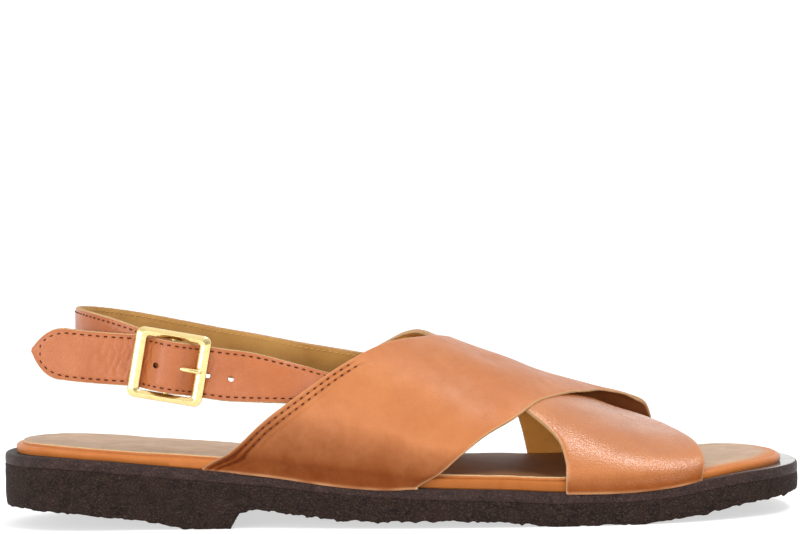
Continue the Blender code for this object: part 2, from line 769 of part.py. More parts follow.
def build_buckle_prong():
    """Ring on the centre bar and a bent shank whose tip lies over the front bar."""
    hole = BAR_RADIUS + SEAT_GAP
    half = PRONG_WIDTH / 2
    rings = []
    for radius, up in ((hole, -half), (hole, half), (PRONG_RING, half), (PRONG_RING, -half)):
        ring = []
        for k in range(PRONG_RING_STEPS):
            turn = 2 * math.pi * k / PRONG_RING_STEPS
            ring.append(at_buckle(radius * math.cos(turn), radius * math.sin(turn) - BAR_RECESS, up))
        rings.append(ring)
    prong = ring_solid("buckle_prong", rings)
    middle = [at_buckle(row.along, row.out) for row in PRONG_SHANK]
    shank = rod("prong_shank_guide", middle, [row.radius for row in PRONG_SHANK], BUCKLE_UP)
    combine(prong, shank, "UNION")


def paint(name):
    """Give a piece its own material."""
    finish = FINISHES[name]
    material = bpy.data.materials.new(name)
    material.use_nodes = True
    surface = material.node_tree.nodes["Principled BSDF"]
    surface.inputs["Base Color"].default_value = (*finish.colour, 1.0)
    surface.inputs["Roughness"].default_value = finish.roughness
    surface.inputs["Metallic"].default_value = finish.metallic
    bpy.data.objects[name].data.materials.append(material)


def main():
    for thing in list(bpy.data.objects):
        bpy.data.objects.remove(thing)
    build_sole()
    build_upper()
    build_heel_sling()
    build_buckle_strap()
    build_buckle_frame()
    build_buckle_prong()
    for name in FINISHES:
        paint(name)


main()
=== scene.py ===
"""Looks of a right-foot leather sandal: crossed vamp straps, a buckled heel sling and a crepe rubber sole.

Sizes are in millimetres and angles in degrees; the meshes are made in metres. A station is a distance
along the shoe from the back of the heel. +X points to the toe, +Y to the inner (medial) side, +Z up.
"""
import math
from collections import namedtuple
from itertools import product

import bpy
import numpy as np
from mathutils import Matrix, Vector
from mathutils.kdtree import KDTree


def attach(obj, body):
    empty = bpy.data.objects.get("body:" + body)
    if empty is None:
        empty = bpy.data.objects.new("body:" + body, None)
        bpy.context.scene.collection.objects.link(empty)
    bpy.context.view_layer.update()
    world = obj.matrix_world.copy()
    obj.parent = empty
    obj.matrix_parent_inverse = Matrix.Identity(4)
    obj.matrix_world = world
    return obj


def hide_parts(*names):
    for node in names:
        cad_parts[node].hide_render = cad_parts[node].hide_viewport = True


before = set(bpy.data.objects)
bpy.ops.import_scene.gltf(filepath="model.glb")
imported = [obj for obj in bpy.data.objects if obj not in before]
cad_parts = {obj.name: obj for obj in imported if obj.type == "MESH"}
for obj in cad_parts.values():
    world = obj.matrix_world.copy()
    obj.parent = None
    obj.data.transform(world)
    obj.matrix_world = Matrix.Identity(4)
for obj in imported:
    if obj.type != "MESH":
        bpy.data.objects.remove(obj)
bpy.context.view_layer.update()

MM = 0.001
SEAT_GAP = 0.3
LATERAL, MEDIAL = -1, 1


def table(columns, rows):
    """Rows of numbers with named columns."""
    Row = namedtuple("Row", columns)
    return [Row(*row) for row in rows]


# Sole outline: half widths on each side and the height of the midsole's top
LENGTH = 267.4
HEEL_ROUND, HEEL_POWER = 34.0, 2.2
TOE_ROUND, TOE_POWER = 60.0, 2.6
SOLE = table("station lateral medial top", [
    (0, 30.0, 30.0, 24.4),
    (16, 30.4, 30.6, 24.1),
    (35, 31.0, 31.0, 22.8),
    (52, 31.2, 30.6, 21.0),
    (68, 31.6, 29.9, 19.3),
    (90, 33.5, 28.5, 17.2),
    (118, 39.0, 30.0, 14.3),
    (145, 43.0, 35.0, 12.6),
    (167, 44.6, 40.3, 11.8),
    (187, 45.2, 44.0, 10.8),
    (205, 44.6, 45.2, 10.9),
    (220, 43.2, 45.3, 11.7),
    (232, 41.5, 45.1, 13.4),
    (246, 40.0, 44.4, 15.1),
    (268, 39.0, 43.5, 16.2),
])
TREAD = table("station height", [
    (0, 7.1), (15, 6.7), (27, 5.7), (51, 2.8), (67, 0.0), (78.2, 0.0), (79, 3.0), (82.3, 5.6),
    (86, 6.3), (95, 5.0), (110, 3.2), (122, 2.4), (145, 2.3), (158, 1.7), (172, 1.1), (187, 0.0),
    (206, 0.0), (218, 0.8), (230, 2.2), (240, 4.2), (255, 5.8), (268, 7.2),
])
MIDSOLE_THICK = 3.4
SOCK_THICK, SOCK_INSET = 0.7, 2.2
FOOTBED = table("station extra thick", [
    (0, 0.9, 2.9), (12, 0.9, 2.6), (40, 0.0, 2.4), (70, 0.0, 3.1), (190, 0.0, 3.2), (225, 0.0, 2.4),
    (236, 0.0, 2.3), (262, 2.6, 2.2), (268, 2.6, 2.2),
])

# Last, and the edges of the vamp straps at angles round it, from 0 (lateral sole) to 180 (medial sole)
LAST = table("station ridge offset power", [
    (60, 68.0, 2.0, 2.5),
    (90, 62.5, 3.0, 2.5),
    (110, 57.8, 4.0, 2.4),
    (130, 53.4, 5.0, 2.4),
    (145, 47.9, 5.0, 2.4),
    (160, 42.4, 6.0, 2.3),
    (175, 37.4, 6.0, 2.3),
    (187, 32.0, 7.0, 2.3),
    (202, 25.0, 8.0, 2.3),
    (212, 20.9, 8.0, 2.3),
    (220, 18.1, 8.0, 2.3),
    (232, 15.2, 8.0, 2.3),
    (245, 13.5, 8.0, 2.3),
])
FEATHER_INSET = 1.0
UPPER_WALL = 1.8
OVER_STRAP = table("angle back front", [
    (0, 69.0, 139.0), (3, 78.0, 145.6), (10, 87.5, 152.6), (20, 98.8, 160.5), (35, 112.4, 172.5),
    (50, 125.2, 180.2), (65, 136.4, 188.2), (80, 145.7, 195.8), (95, 151.5, 202.5),
    (112, 158.0, 212.5), (132, 166.5, 220.8), (152, 175.0, 224.0), (180, 179.5, 225.0),
])
UNDER_STRAP = table("angle back front", [
    (0, 186.4, 231.0), (12, 186.8, 231.8), (20, 186.2, 232.2), (26, 185.2, 232.1),
    (31, 183.2, 231.9), (36, 179.5, 231.6), (44, 171.8, 230.8), (53, 165.5, 229.2),
    (70, 154.5, 224.8), (90, 144.0, 218.0), (111, 137.0, 206.5), (125, 131.0, 194.5),
    (136, 124.0, 184.0), (150, 113.0, 171.0), (165, 101.0, 158.5), (175, 91.0, 147.5),
    (180, 81.0, 139.0),
])
JOIN_DEPTH, CLIMB = 0.8, 19.0
FRONT_LIFT = table("angle rise", [
    (0, 0.0), (55, 0.0), (80, 1.7), (95, 4.4), (112, 6.6), (128, 7.6), (148, 5.4), (168, 0.0),
    (180, 0.0),
])
FRONT_LIFT_FROM, FREE_RISE = 0.5, 5.0

# Narrow straps and buckle
STRAP_WIDTH, STRAP_THICK = 17.0, 2.0
TIP_LONG, TIP_POWER, TIP_FULLNESS, TIP_BLUNT = 10.0, 2.0, 0.8, 0.04
SEWN_SHARE, SEWN_TAPER = 0.62, 42.0
HOLD_GAP, WALL_SLANT = 0.6, 1.06
SLING_SEWN = table("station height", [(122, 45.2), (111, 47.3), (99.5, 49.5)])
SLING_FREE = table("station side height lean", [
    (84, 24.8, 52.4, -5),
    (70, 26.2, 55.0, -2),
    (54, 26.4, 58.4, 0),
    (43, 24.0, 60.8, 0),
    (33.5, 17.0, 62.8, 0),
    (26.8, 6.0, 64.0, 0),
    (26.3, -6.0, 64.0, 0),
    (30.9, -16.5, 63.0, 0),
    (39, -23.6, 60.8, 0),
    (47, -26.4, 57.8, 0),
])
STRAP_SEWN = table("station height", [(118, 43.5), (108, 45.0), (100, 46.5)])
STRAP_FREE = table("station side height lean", [(86, -28.6, 48.9, 6), (77, -29.0, 50.0, 1)])
STRAP_TAIL = table("station side height lean", [
    (42, -29.0, 56.0, 0),
    (33, -29.2, 56.9, 0),
    (24, -29.0, 58.1, 0),
    (14.2, -28.5, 59.6, 0),
])
CHAPE_THICK = 1.3
BUCKLE_STATION, BUCKLE_SIDE, BUCKLE_HEIGHT, BUCKLE_TILT = 59.2, -31.5, 53.3, 10.8
FRAME_LONG, FRAME_HIGH, FRAME_THICK = 24.6, 23.2, 2.4
FRAME_SIDE_BAR, FRAME_END_BAR = 2.7, 3.6
FRAME_ROUND, FRAME_INNER_ROUND = 2.6, 0.9
BAR_RADIUS, BAR_RECESS, BAR_END_INSET = 1.1, 1.4, 0.9
STRAP_LEVEL = 1.5
CHAPE_FOLD_FROM, CHAPE_FOLD_TO, CHAPE_FOLD_STEPS = 90.0, -113.0, 24
CHAPE_SLOT_FROM, CHAPE_SLOT_TO, CHAPE_SLOT_WIDTH = -3.4, 4.5, 3.2
PRONG_SLOT_FROM, PRONG_SLOT_TO, PRONG_SLOT_WIDTH = 1.4, 6.3, 2.5
SLOT_DEPTH = 6.0
PRONG_RING, PRONG_WIDTH = 2.5, 2.4
PRONG_SHANK = table("along out radius", [
    (1.0, 0.10, 0.8), (2.2, 0.75, 0.8), (3.6, 1.55, 0.8), (5.0, 2.15, 0.8), (6.6, 2.50, 0.8),
    (8.4, 2.40, 0.8), (9.9, 2.30, 0.78), (10.6, 2.30, 0.62), (10.9, 2.30, 0.3),
])
HOLE_RADIUS, HOLE_SIDES = 1.0, 24
HOLES = table("along up", [(-4.2, -0.2), (12.6, -0.9), (20.3, -0.8)])


# Curves, directions and random lumps
class Profile:
    """Smooth curve through one column of a table, with no overshoot between its rows."""

    def __init__(self, rows, column):
        self.at = np.array([row[0] for row in rows], float)
        self.value = np.array([getattr(row, column) for row in rows], float)
        steps = np.diff(self.value) / np.diff(self.at)
        before, after = steps[:-1], steps[1:]
        same_way = before * after > 0
        inner = np.where(same_way, 2 * before * after / np.where(same_way, before + after, 1.0), 0.0)
        self.slope = np.concatenate([steps[:1], inner, steps[-1:]])

    def __call__(self, at):
        at = np.clip(at, self.at[0], self.at[-1])
        row = np.clip(np.searchsorted(self.at, at, side="right") - 1, 0, len(self.at) - 2)
        span = self.at[row + 1] - self.at[row]
        t = (at - self.at[row]) / span
        start, end = self.value[row], self.value[row + 1]
        bend = (1 - t) * span * self.slope[row] - t * span * self.slope[row + 1]
        return start + (end - start) * t * t * (3 - 2 * t) + t * (1 - t) * bend


def smooth(t):
    """Ease from 0 to 1 as t goes from 0 to 1."""
    t = np.clip(t, 0.0, 1.0)
    return t * t * (3 - 2 * t)


def blend(start, end, t):
    return start + (end - start) * t


def bump_at(distance, width):
    """Rounded bump of height 1 at no distance, gone at about twice its width."""
    return np.exp(-(distance / width) ** 2)


def unit(vectors):
    return vectors / np.maximum(np.linalg.norm(vectors, axis=-1, keepdims=True), 1e-9)


LATTICE = 32


def noise(points, size, seed):
    """Smooth noise from -1 to 1 at points, with lumps of about the given size; the same each run."""
    lattice = np.random.default_rng(seed).uniform(-1, 1, (LATTICE,) * 3)
    cell = np.asarray(points, float) / size
    low = np.floor(cell).astype(int)
    t = smooth(cell - low)
    total = np.zeros(cell.shape[:-1])
    for corner in product((0, 1), repeat=3):
        weight = np.prod(np.where(np.array(corner) == 1, t, 1 - t), axis=-1)
        index = np.moveaxis((low + corner) % LATTICE, -1, 0)
        total += weight * lattice[index[0], index[1], index[2]]
    return total


def layered_noise(points, *layers):
    """Sum of noises; each layer is its depth, its size and its seed."""
    return sum(depth * noise(points, size, seed) for depth, size, seed in layers)


def run_length(points):
    """Distance along a line of points, from its start to each of them."""
    return np.concatenate([[0.0], np.cumsum(np.linalg.norm(np.diff(points, axis=0), axis=1))])


lateral_width = Profile(SOLE, "lateral")
medial_width = Profile(SOLE, "medial")
sole_top = Profile(SOLE, "top")
tread = Profile(TREAD, "height")
footbed_extra = Profile(FOOTBED, "extra")
footbed_thick = Profile(FOOTBED, "thick")
ridge_height = Profile(LAST, "ridge")
ridge_offset = Profile(LAST, "offset")
section_power = Profile(LAST, "power")
under_back = Profile(UNDER_STRAP, "back")
under_front = Profile(UNDER_STRAP, "front")
front_lift = Profile(FRONT_LIFT, "rise")


# Meshes
SHARP_ANGLE = 40.0


def quads(rows, columns, wrap=False):
    """Faces of a grid of points, row by row; wrap joins the last column to the first."""
    row = np.arange(rows - 1)[:, None] * columns
    column = np.arange(columns if wrap else columns - 1)[None, :]
    after = (column + 1) % columns
    corners = [row + column, row + after, row + columns + after, row + columns + column]
    return np.stack(np.broadcast_arrays(*corners), axis=-1).reshape(-1, 4)


def make_mesh(name, points, faces, materials, face_slots=None, sharp=SHARP_ANGLE):
    """Mesh object from points in millimetres, shaded smooth between its sharp edges."""
    mesh = bpy.data.meshes.new(name)
    mesh.from_pydata((np.asarray(points, float).reshape(-1, 3) * MM).tolist(), [], [list(f) for f in faces])
    for material in materials:
        mesh.materials.append(material)
    if face_slots is not None:
        mesh.polygons.foreach_set("material_index", np.asarray(face_slots, np.int32))
    mesh.shade_smooth()
    mesh.set_sharp_from_angle(angle=math.radians(sharp))
    thing = bpy.data.objects.new(name, mesh)
    bpy.context.scene.collection.objects.link(thing)
    return thing


def add_values(thing, name, values):
    """Store one number for each point of a mesh, for its material to read."""
    attribute = thing.data.attributes.new(name, "FLOAT", "POINT")
    attribute.data.foreach_set("value", np.asarray(values, np.float32).ravel())


def places_of(thing):
    """Points of a mesh in millimetres."""
    return np.array([vertex.co for vertex in thing.data.vertices]) / MM


def seat(thing, slot, *nodes):
    """Let a piece ride on the shoe in place of solid nodes; slot, its record's finish, is not used."""
    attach(thing, "root")
    if nodes:
        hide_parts(*nodes)


def cut(thing, cutter, operation="DIFFERENCE"):
    """Cut a mesh with a helper, keep the result as its mesh and delete the helper."""
    modifier = thing.modifiers.new(operation.title(), "BOOLEAN")
    modifier.operation = operation
    modifier.solver = "EXACT"
    modifier.object = cutter
    depsgraph = bpy.context.evaluated_depsgraph_get()
    result = bpy.data.meshes.new_from_object(thing.evaluated_get(depsgraph))
    thing.modifiers.clear()
    thing.data = result
    bpy.data.objects.remove(cutter)


def rod_points(path, radii, sideways, sides):
    """Rings of points round a flat path; sideways is the direction square to that path's plane."""
    path, radii = np.asarray(path, float), np.asarray(radii, float)
    along = unit(np.gradient(path, axis=0))
    across = unit(np.cross(sideways, along))
    turn = np.linspace(0, 2 * np.pi, sides, endpoint=False)[None, :, None]
    ring = across[:, None] * np.cos(turn) + np.asarray(sideways)[None, None] * np.sin(turn)
    return path[:, None] + ring * radii[:, None, None]


def rod_faces(rings, sides):
    """Faces of a rod made of rings of points: its side, then its two flat ends."""
    last = (rings - 1) * sides
    ends = [list(range(sides))[::-1], list(range(last, last + sides))]
    return quads(rings, sides, wrap=True).tolist() + ends


def loop_faces(rings, sides):
    """Faces of a closed loop, where the last ring of points joins the first."""
    return (quads(rings + 1, sides, wrap=True) % (rings * sides)).tolist()


def rod_mesh(name, path, radii, sideways, sides, materials):
    rings = rod_points(path, radii, sideways, sides)
    return make_mesh(name, rings, rod_faces(len(rings), sides), materials)


# Surfaces
def new_surface(name):
    """Material with a Principled surface; returns it with its node tree and that surface."""
    material = bpy.data.materials.new(name)
    material.use_nodes = True
    tree = material.node_tree
    return material, tree, tree.nodes["Principled BSDF"]


def put(tree, socket, value):
    """Link another node's output to a socket, or set the socket to a value."""
    if isinstance(value, bpy.types.NodeSocket):
        tree.links.new(value, socket)
    else:
        socket.default_value = value


def set_inputs(tree, surface, **values):
    """Set or link sockets by their names in lower case with underscores."""
    for socket in surface.inputs:
        key = socket.name.lower().replace(" ", "_")
        if key in values:
            put(tree, socket, values[key])


def add_node(tree, kind, inputs=None, **settings):
    """Add a node, set its properties, and set or link its inputs."""
    node = tree.nodes.new(kind)
    for key, value in settings.items():
        setattr(node, key, value)
    for key, value in (inputs or {}).items():
        put(tree, node.inputs[key], value)
    return node


def place(tree, stretch=(1.0, 1.0, 1.0)):
    """Position on the shoe in millimetres, stretched along its axes."""
    spot = add_node(tree, "ShaderNodeTexCoord").outputs["Object"]
    scale = tuple(share / MM for share in stretch)
    return add_node(tree, "ShaderNodeMapping", {"Vector": spot, "Scale": scale}).outputs["Vector"]


def cloud(tree, spot, size, detail=3.0, rough=0.55, distortion=0.0):
    """Noise from 0 to 1 with lumps of about a size in millimetres."""
    inputs = {"Vector": spot, "Scale": 1.0 / size, "Detail": detail, "Roughness": rough,
              "Distortion": distortion}
    return add_node(tree, "ShaderNodeTexNoise", inputs).outputs["Fac"]


def cells(tree, spot, size):
    """Distance to the nearest cell centre of a pattern with cells of about a size in millimetres."""
    return add_node(tree, "ShaderNodeTexVoronoi", {"Vector": spot, "Scale": 1.0 / size}).outputs["Distance"]


def added(tree, a, b):
    return add_node(tree, "ShaderNodeMath", {0: a, 1: b}, operation="ADD").outputs[0]


def spread(tree, value, low, high, start=0.0, end=1.0):
    """Map a value between low and high to start and end, clamped."""
    inputs = {"Value": value, "From Min": low, "From Max": high, "To Min": start, "To Max": end}
    return add_node(tree, "ShaderNodeMapRange", inputs, clamp=True).outputs["Result"]


def mix(tree, share, a, b):
    """Mix two colours by a share."""
    node = add_node(tree, "ShaderNodeMix", data_type="RGBA")
    for socket, value in ((node.inputs[0], share), (node.inputs[6], a), (node.inputs[7], b)):
        put(tree, socket, (*value, 1.0) if isinstance(value, tuple) else value)
    return node.outputs[2]


def stored(tree, name):
    """A number kept on the mesh's points."""
    return add_node(tree, "ShaderNodeAttribute", attribute_name=name).outputs["Fac"]


def bump(tree, surface, heights):
    """Chain bumps onto a surface; each height is a value, its depth in millimetres and its strength."""
    normal = None
    for value, depth, strength in heights:
        inputs = {"Height": value, "Distance": depth * MM, "Strength": strength}
        if normal is not None:
            inputs["Normal"] = normal
        normal = add_node(tree, "ShaderNodeBump", inputs).outputs["Normal"]
    tree.links.new(normal, surface.inputs["Normal"])


WORN_COLOUR = (0.60, 0.350, 0.180)


def leather(name, pale, middle, dark, low, roughness, gloss, relief=1.0):
    """Smooth leather with pores and grain: mottled dye; darker and duller where a stored value marks burnish
    together with painted shade; painted shade in the troughs of creases; pale where worn and along the
    straps' feet.
    """
    material, tree, surface = new_surface(name)
    spot = place(tree)
    broad = cloud(tree, spot, 26.0, 4.0, 0.6, 0.6)
    patch = cloud(tree, spot, 6.0, 5.0, 0.65)
    fine = cloud(tree, spot, 0.9, 3.0)
    colour = mix(tree, spread(tree, broad, 0.35, 0.68), middle, pale)
    colour = mix(tree, spread(tree, patch, 0.46, 0.75, 0.0, 0.24), colour, dark)
    colour = mix(tree, spread(tree, fine, 0.55, 0.8, 0.0, 0.25), colour, dark)
    uneven = spread(tree, patch, 0.3, 0.7, -0.06, 0.06)
    burnish_and_shade = added(tree, stored(tree, "burnish_and_shade"), uneven)
    # Painted shade with real burnish: darker, duller colour low on the vamp straps, in stitch grooves and
    # under the straps on the footbed.
    colour = mix(tree, spread(tree, burnish_and_shade, 0.05, 1.0), colour, low)
    # Painted shade in the troughs of creases.
    colour = mix(tree, spread(tree, stored(tree, "crease"), 0.0, 1.0, 0.0, 0.6), colour, dark)
    colour = mix(tree, stored(tree, "worn"), colour, WORN_COLOUR)
    grain = cells(tree, spot, 0.55)
    pores = spread(tree, cells(tree, spot, 1.1), 0.0, 0.28)
    bump(tree, surface, [
        (broad, 0.5, 0.25), (patch, 0.25, 0.35), (grain, 0.09 * relief, 0.45), (pores, 0.06, 0.4),
        (fine, 0.08 * relief, 0.4),
    ])
    set_inputs(tree, surface, base_color=colour,
               roughness=spread(tree, patch, 0.3, 0.75, roughness, roughness + 0.14),
               specular_ior_level=spread(tree, burnish_and_shade, 0.0, 0.8, gloss, 0.12 * gloss))
    return material


def lining(name, pale, dark, dye_and_shade):
    """Unfinished inner face of the straps: matt, faintly fibrous, dark red-brown along the over strap's free
    edge, as soaked-in dye together with painted shade.
    """
    material, tree, surface = new_surface(name)
    spot = place(tree)
    broad = cloud(tree, spot, 14.0, 4.0, 0.6)
    fibre = cloud(tree, place(tree, (0.35, 1.0, 1.0)), 0.5, 4.0, 0.7)
    colour = mix(tree, spread(tree, broad, 0.3, 0.72), pale, dark)
    colour = mix(tree, spread(tree, fibre, 0.5, 0.8, 0.0, 0.3), colour, dark)
    colour = mix(tree, stored(tree, "dye_and_shade"), colour, dye_and_shade)
    bump(tree, surface, [(broad, 0.3, 0.2), (fibre, 0.08, 0.5)])
    set_inputs(tree, surface, base_color=colour, roughness=spread(tree, broad, 0.3, 0.7, 0.52, 0.68),
               specular_ior_level=0.25)
    return material


def raw_edge(name, pale, dark, rub_and_sheen):
    """Cut edge of leather: pale fibres with darker specks, or the face's colour where it is rubbed down."""
    material, tree, surface = new_surface(name)
    spot = place(tree)
    fibre = cloud(tree, spot, 0.35, 5.0, 0.75)
    broad = cloud(tree, spot, 5.0, 3.0)
    colour = mix(tree, spread(tree, fibre, 0.4, 0.68), pale, dark)
    colour = mix(tree, spread(tree, broad, 0.45, 0.75, 0.0, 0.5), colour, dark)
    colour = mix(tree, stored(tree, "rub_and_sheen"), colour, rub_and_sheen)
    bump(tree, surface, [(fibre, 0.15, 0.8)])
    set_inputs(tree, surface, base_color=colour, roughness=0.78, specular_ior_level=0.3)
    return material


def crepe(name, dark, brown, speck, relief, roughness, gloss):
    """Crepe rubber: rough, near black, with paler specks where the crumb catches the light."""
    material, tree, surface = new_surface(name)
    spot = place(tree, (0.85, 0.85, 1.2))
    lumps = cloud(tree, spot, 3.2, 5.0, 0.62, 0.8)
    crumb = cloud(tree, spot, 0.55, 4.0, 0.75)
    grit = cells(tree, spot, 0.42)
    colour = mix(tree, spread(tree, lumps, 0.36, 0.66), dark, brown)
    colour = mix(tree, spread(tree, crumb, 0.50, 0.72, 0.0, 0.8), colour, speck)
    bump(tree, surface, [(lumps, 0.5, 0.4 * relief), (crumb, 0.4, 0.8 * relief), (grit, 0.25, 0.6 * relief)])
    set_inputs(tree, surface, base_color=colour, roughness=roughness, specular_ior_level=gloss)
    return material


def rubbed_sheen_rubber(name, dark, pale):
    """Top of the midsole's rim: dark and dull, or polished and glossier towards the toe, where its colour is
    also painted paler as a painted reflection.
    """
    material, tree, surface = new_surface(name)
    spot = place(tree, (0.45, 0.45, 1.4))
    broad = cloud(tree, spot, 9.0, 4.0, 0.6)
    fine = cloud(tree, spot, 1.2, 4.0, 0.65)
    patchy = added(tree, spread(tree, broad, 0.3, 0.7, -0.15, 0.15), spread(tree, fine, 0.3, 0.7, -0.1, 0.1))
    rub_and_sheen = added(tree, stored(tree, "rub_and_sheen"), patchy)
    # Paler colour towards the toe is a painted reflection; the lower roughness and higher gloss are real
    # polish.
    set_inputs(tree, surface, base_color=mix(tree, spread(tree, rub_and_sheen, 0.0, 1.0), dark, pale),
               roughness=spread(tree, rub_and_sheen, 0.0, 1.0, 0.6, 0.14),
               specular_ior_level=spread(tree, rub_and_sheen, 0.0, 1.0, 0.08, 0.7))
    bump(tree, surface, [(broad, 0.3, 0.2), (fine, 0.05, 0.2)])
    return material


def suede(name, pale, dark, strap_shade, rub_and_sheen):
    """Matt sock lining with a short nap: darker under the straps as painted shade, rubbed bare at the toe's
    rim.
    """
    material, tree, surface = new_surface(name)
    spot = place(tree)
    patch = cloud(tree, spot, 11.0, 5.0, 0.65, 0.5)
    nap = cloud(tree, spot, 0.45, 4.0, 0.7)
    colour = mix(tree, spread(tree, patch, 0.36, 0.7), pale, dark)
    colour = mix(tree, spread(tree, nap, 0.5, 0.8, 0.0, 0.35), colour, dark)
    # Painted shade under the vamp straps.
    colour = mix(tree, stored(tree, "strap_shade"), colour, strap_shade)
    colour = mix(tree, stored(tree, "rub_and_sheen"), colour, rub_and_sheen)
    bump(tree, surface, [(patch, 0.3, 0.25), (nap, 0.1, 0.6)])
    set_inputs(tree, surface, base_color=colour, roughness=0.62, specular_ior_level=0.25)
    return material


def brass(name, colour, worn):
    """Polished plated brass with faint wear."""
    material, tree, surface = new_surface(name)
    spot = place(tree)
    wear = cloud(tree, spot, 2.2, 5.0, 0.65)
    tint = mix(tree, spread(tree, wear, 0.5, 0.75), colour, worn)
    bump(tree, surface, [(wear, 0.05, 0.2)])
    set_inputs(tree, surface, base_color=tint, metallic=1.0,
               roughness=spread(tree, wear, 0.35, 0.75, 0.12, 0.26))
    return material


def thread(name, colour, pale):
    """Waxed sewing thread, twisted."""
    material, tree, surface = new_surface(name)
    twist = cloud(tree, place(tree), 0.25, 2.0)
    tint = mix(tree, spread(tree, twist, 0.35, 0.7), colour, pale)
    bump(tree, surface, [(twist, 0.05, 0.6)])
    set_inputs(tree, surface, base_color=tint, roughness=0.6, specular_ior_level=0.1)
    return material


# Dark red-brown for the inside of the over strap's free edge: soaked dye together with painted shade.
SOAKED_DYE_AND_SHADE = (0.170, 0.045, 0.014)
BARE_LEATHER = (0.46, 0.165, 0.046)
OVER_LEATHER = leather(
    "over_strap_leather", pale=(0.420, 0.149, 0.048), middle=(0.370, 0.119, 0.033), dark=(0.29, 0.082, 0.018),
    low=(0.092, 0.016, 0.001), roughness=0.36, gloss=0.34, relief=1.2)
UNDER_LEATHER = leather(
    "under_strap_leather", pale=(0.41, 0.145, 0.044), middle=(0.35, 0.113, 0.030), dark=(0.28, 0.080, 0.017),
    low=(0.14, 0.030, 0.003), roughness=0.23, gloss=0.60, relief=1.7)
STRAP_LEATHER = leather(
    "strap_leather", pale=(0.39, 0.124, 0.043), middle=(0.325, 0.091, 0.027), dark=(0.27, 0.066, 0.015),
    low=(0.13, 0.030, 0.006), roughness=0.27, gloss=0.44, relief=1.6)
FOOTBED_LEATHER = leather(
    "footbed_leather", pale=(0.45, 0.150, 0.036), middle=(0.39, 0.118, 0.024), dark=(0.30, 0.080, 0.013),
    low=(0.18, 0.046, 0.006), roughness=0.34, gloss=0.24)
LINING = lining("strap_lining", pale=(0.46, 0.250, 0.070), dark=(0.35, 0.175, 0.042), dye_and_shade=SOAKED_DYE_AND_SHADE)
VAMP_LINING = lining("vamp_lining", pale=(0.60, 0.275, 0.062), dark=(0.47, 0.195, 0.038), dye_and_shade=SOAKED_DYE_AND_SHADE)
EDGE = raw_edge("cut_edge", pale=(0.47, 0.292, 0.152), dark=(0.32, 0.160, 0.060), rub_and_sheen=(0.40, 0.125, 0.030))
SOCK = suede("sock_suede", pale=(0.455, 0.307, 0.205), dark=(0.34, 0.216, 0.133),
             strap_shade=(0.190, 0.072, 0.018), rub_and_sheen=BARE_LEATHER)
SOCK_EDGE = raw_edge("sock_edge", pale=(0.56, 0.400, 0.230), dark=(0.38, 0.210, 0.090), rub_and_sheen=BARE_LEATHER)
CREPE = crepe("crepe_rubber", dark=(0.009, 0.005, 0.004), brown=(0.022, 0.012, 0.009),
              speck=(0.082, 0.053, 0.042), relief=1.0, roughness=0.78, gloss=0.12)
MIDSOLE = crepe("midsole_rubber", dark=(0.014, 0.0075, 0.0065), brown=(0.032, 0.016, 0.014),
                speck=(0.100, 0.060, 0.051), relief=0.7, roughness=0.5, gloss=0.15)
MIDSOLE_RIM = rubbed_sheen_rubber("midsole_rim", dark=(0.030, 0.026, 0.025), pale=(0.100, 0.094, 0.094))
BRASS = brass("buckle_brass", colour=(0.88, 0.69, 0.32), worn=(0.76, 0.55, 0.21))
THREAD = thread("dark_thread", colour=(0.050, 0.012, 0.005), pale=(0.085, 0.025, 0.010))
PALE_THREAD = thread("pale_thread", colour=(0.40, 0.215, 0.070), pale=(0.46, 0.270, 0.100))


# Sole
SIDE_STEP = 0.55
END_STEPS_HEEL, END_STEPS_TOE = 50, 66


def end_taper(station):
    """Share of the half width left where the heel and the toe round off."""
    heel = np.clip((HEEL_ROUND - station) / HEEL_ROUND, 0, 1)
    toe = np.clip((station - LENGTH + TOE_ROUND) / TOE_ROUND, 0, 1)
    at_heel = (1 - heel ** HEEL_POWER) ** (1 / HEEL_POWER)
    at_toe = (1 - toe ** TOE_POWER) ** (1 / TOE_POWER)
    return at_heel * at_toe


def outline():
    """Sole edge seen from above: heel point, medial side, toe point, lateral side."""
    heel = HEEL_ROUND * (1 - np.cos(np.pi / 2 * np.arange(1, END_STEPS_HEEL) / END_STEPS_HEEL))
    toe = LENGTH - TOE_ROUND * (1 - np.cos(np.pi / 2 * np.arange(1, END_STEPS_TOE) / END_STEPS_TOE))
    side = np.arange(HEEL_ROUND, LENGTH - TOE_ROUND, SIDE_STEP)
    station = np.concatenate([heel, side, toe[::-1]])
    medial = np.stack([station, medial_width(station) * end_taper(station)], axis=1)
    lateral = np.stack([station, -lateral_width(station) * end_taper(station)], axis=1)
    return np.concatenate([[[0.0, 0.0]], medial, [[LENGTH, 0.0]], lateral[::-1]])


def inward_of(line):
    """Directions square to a closed line, towards its inside."""
    along = unit(np.roll(line, -1, axis=0) - np.roll(line, 1, axis=0))
    return np.stack([along[:, 1], -along[:, 0]], axis=1)


EDGE_LINE = outline()
EDGE_INWARD = inward_of(EDGE_LINE)


def ring_at(inset, height):
    """Ring of points inside the outline by an inset, at a height that follows the station."""
    spot = EDGE_LINE + EDGE_INWARD * np.broadcast_to(inset, len(EDGE_LINE))[:, None]
    return np.column_stack([spot[:, 0] - LENGTH / 2, spot[:, 1], height(spot[:, 0])])


def pushed_out(ring, distance):
    """Ring of points moved away from the shoe's middle by distances."""
    return ring + np.column_stack([-EDGE_INWARD, np.zeros(len(ring))]) * distance[:, None]


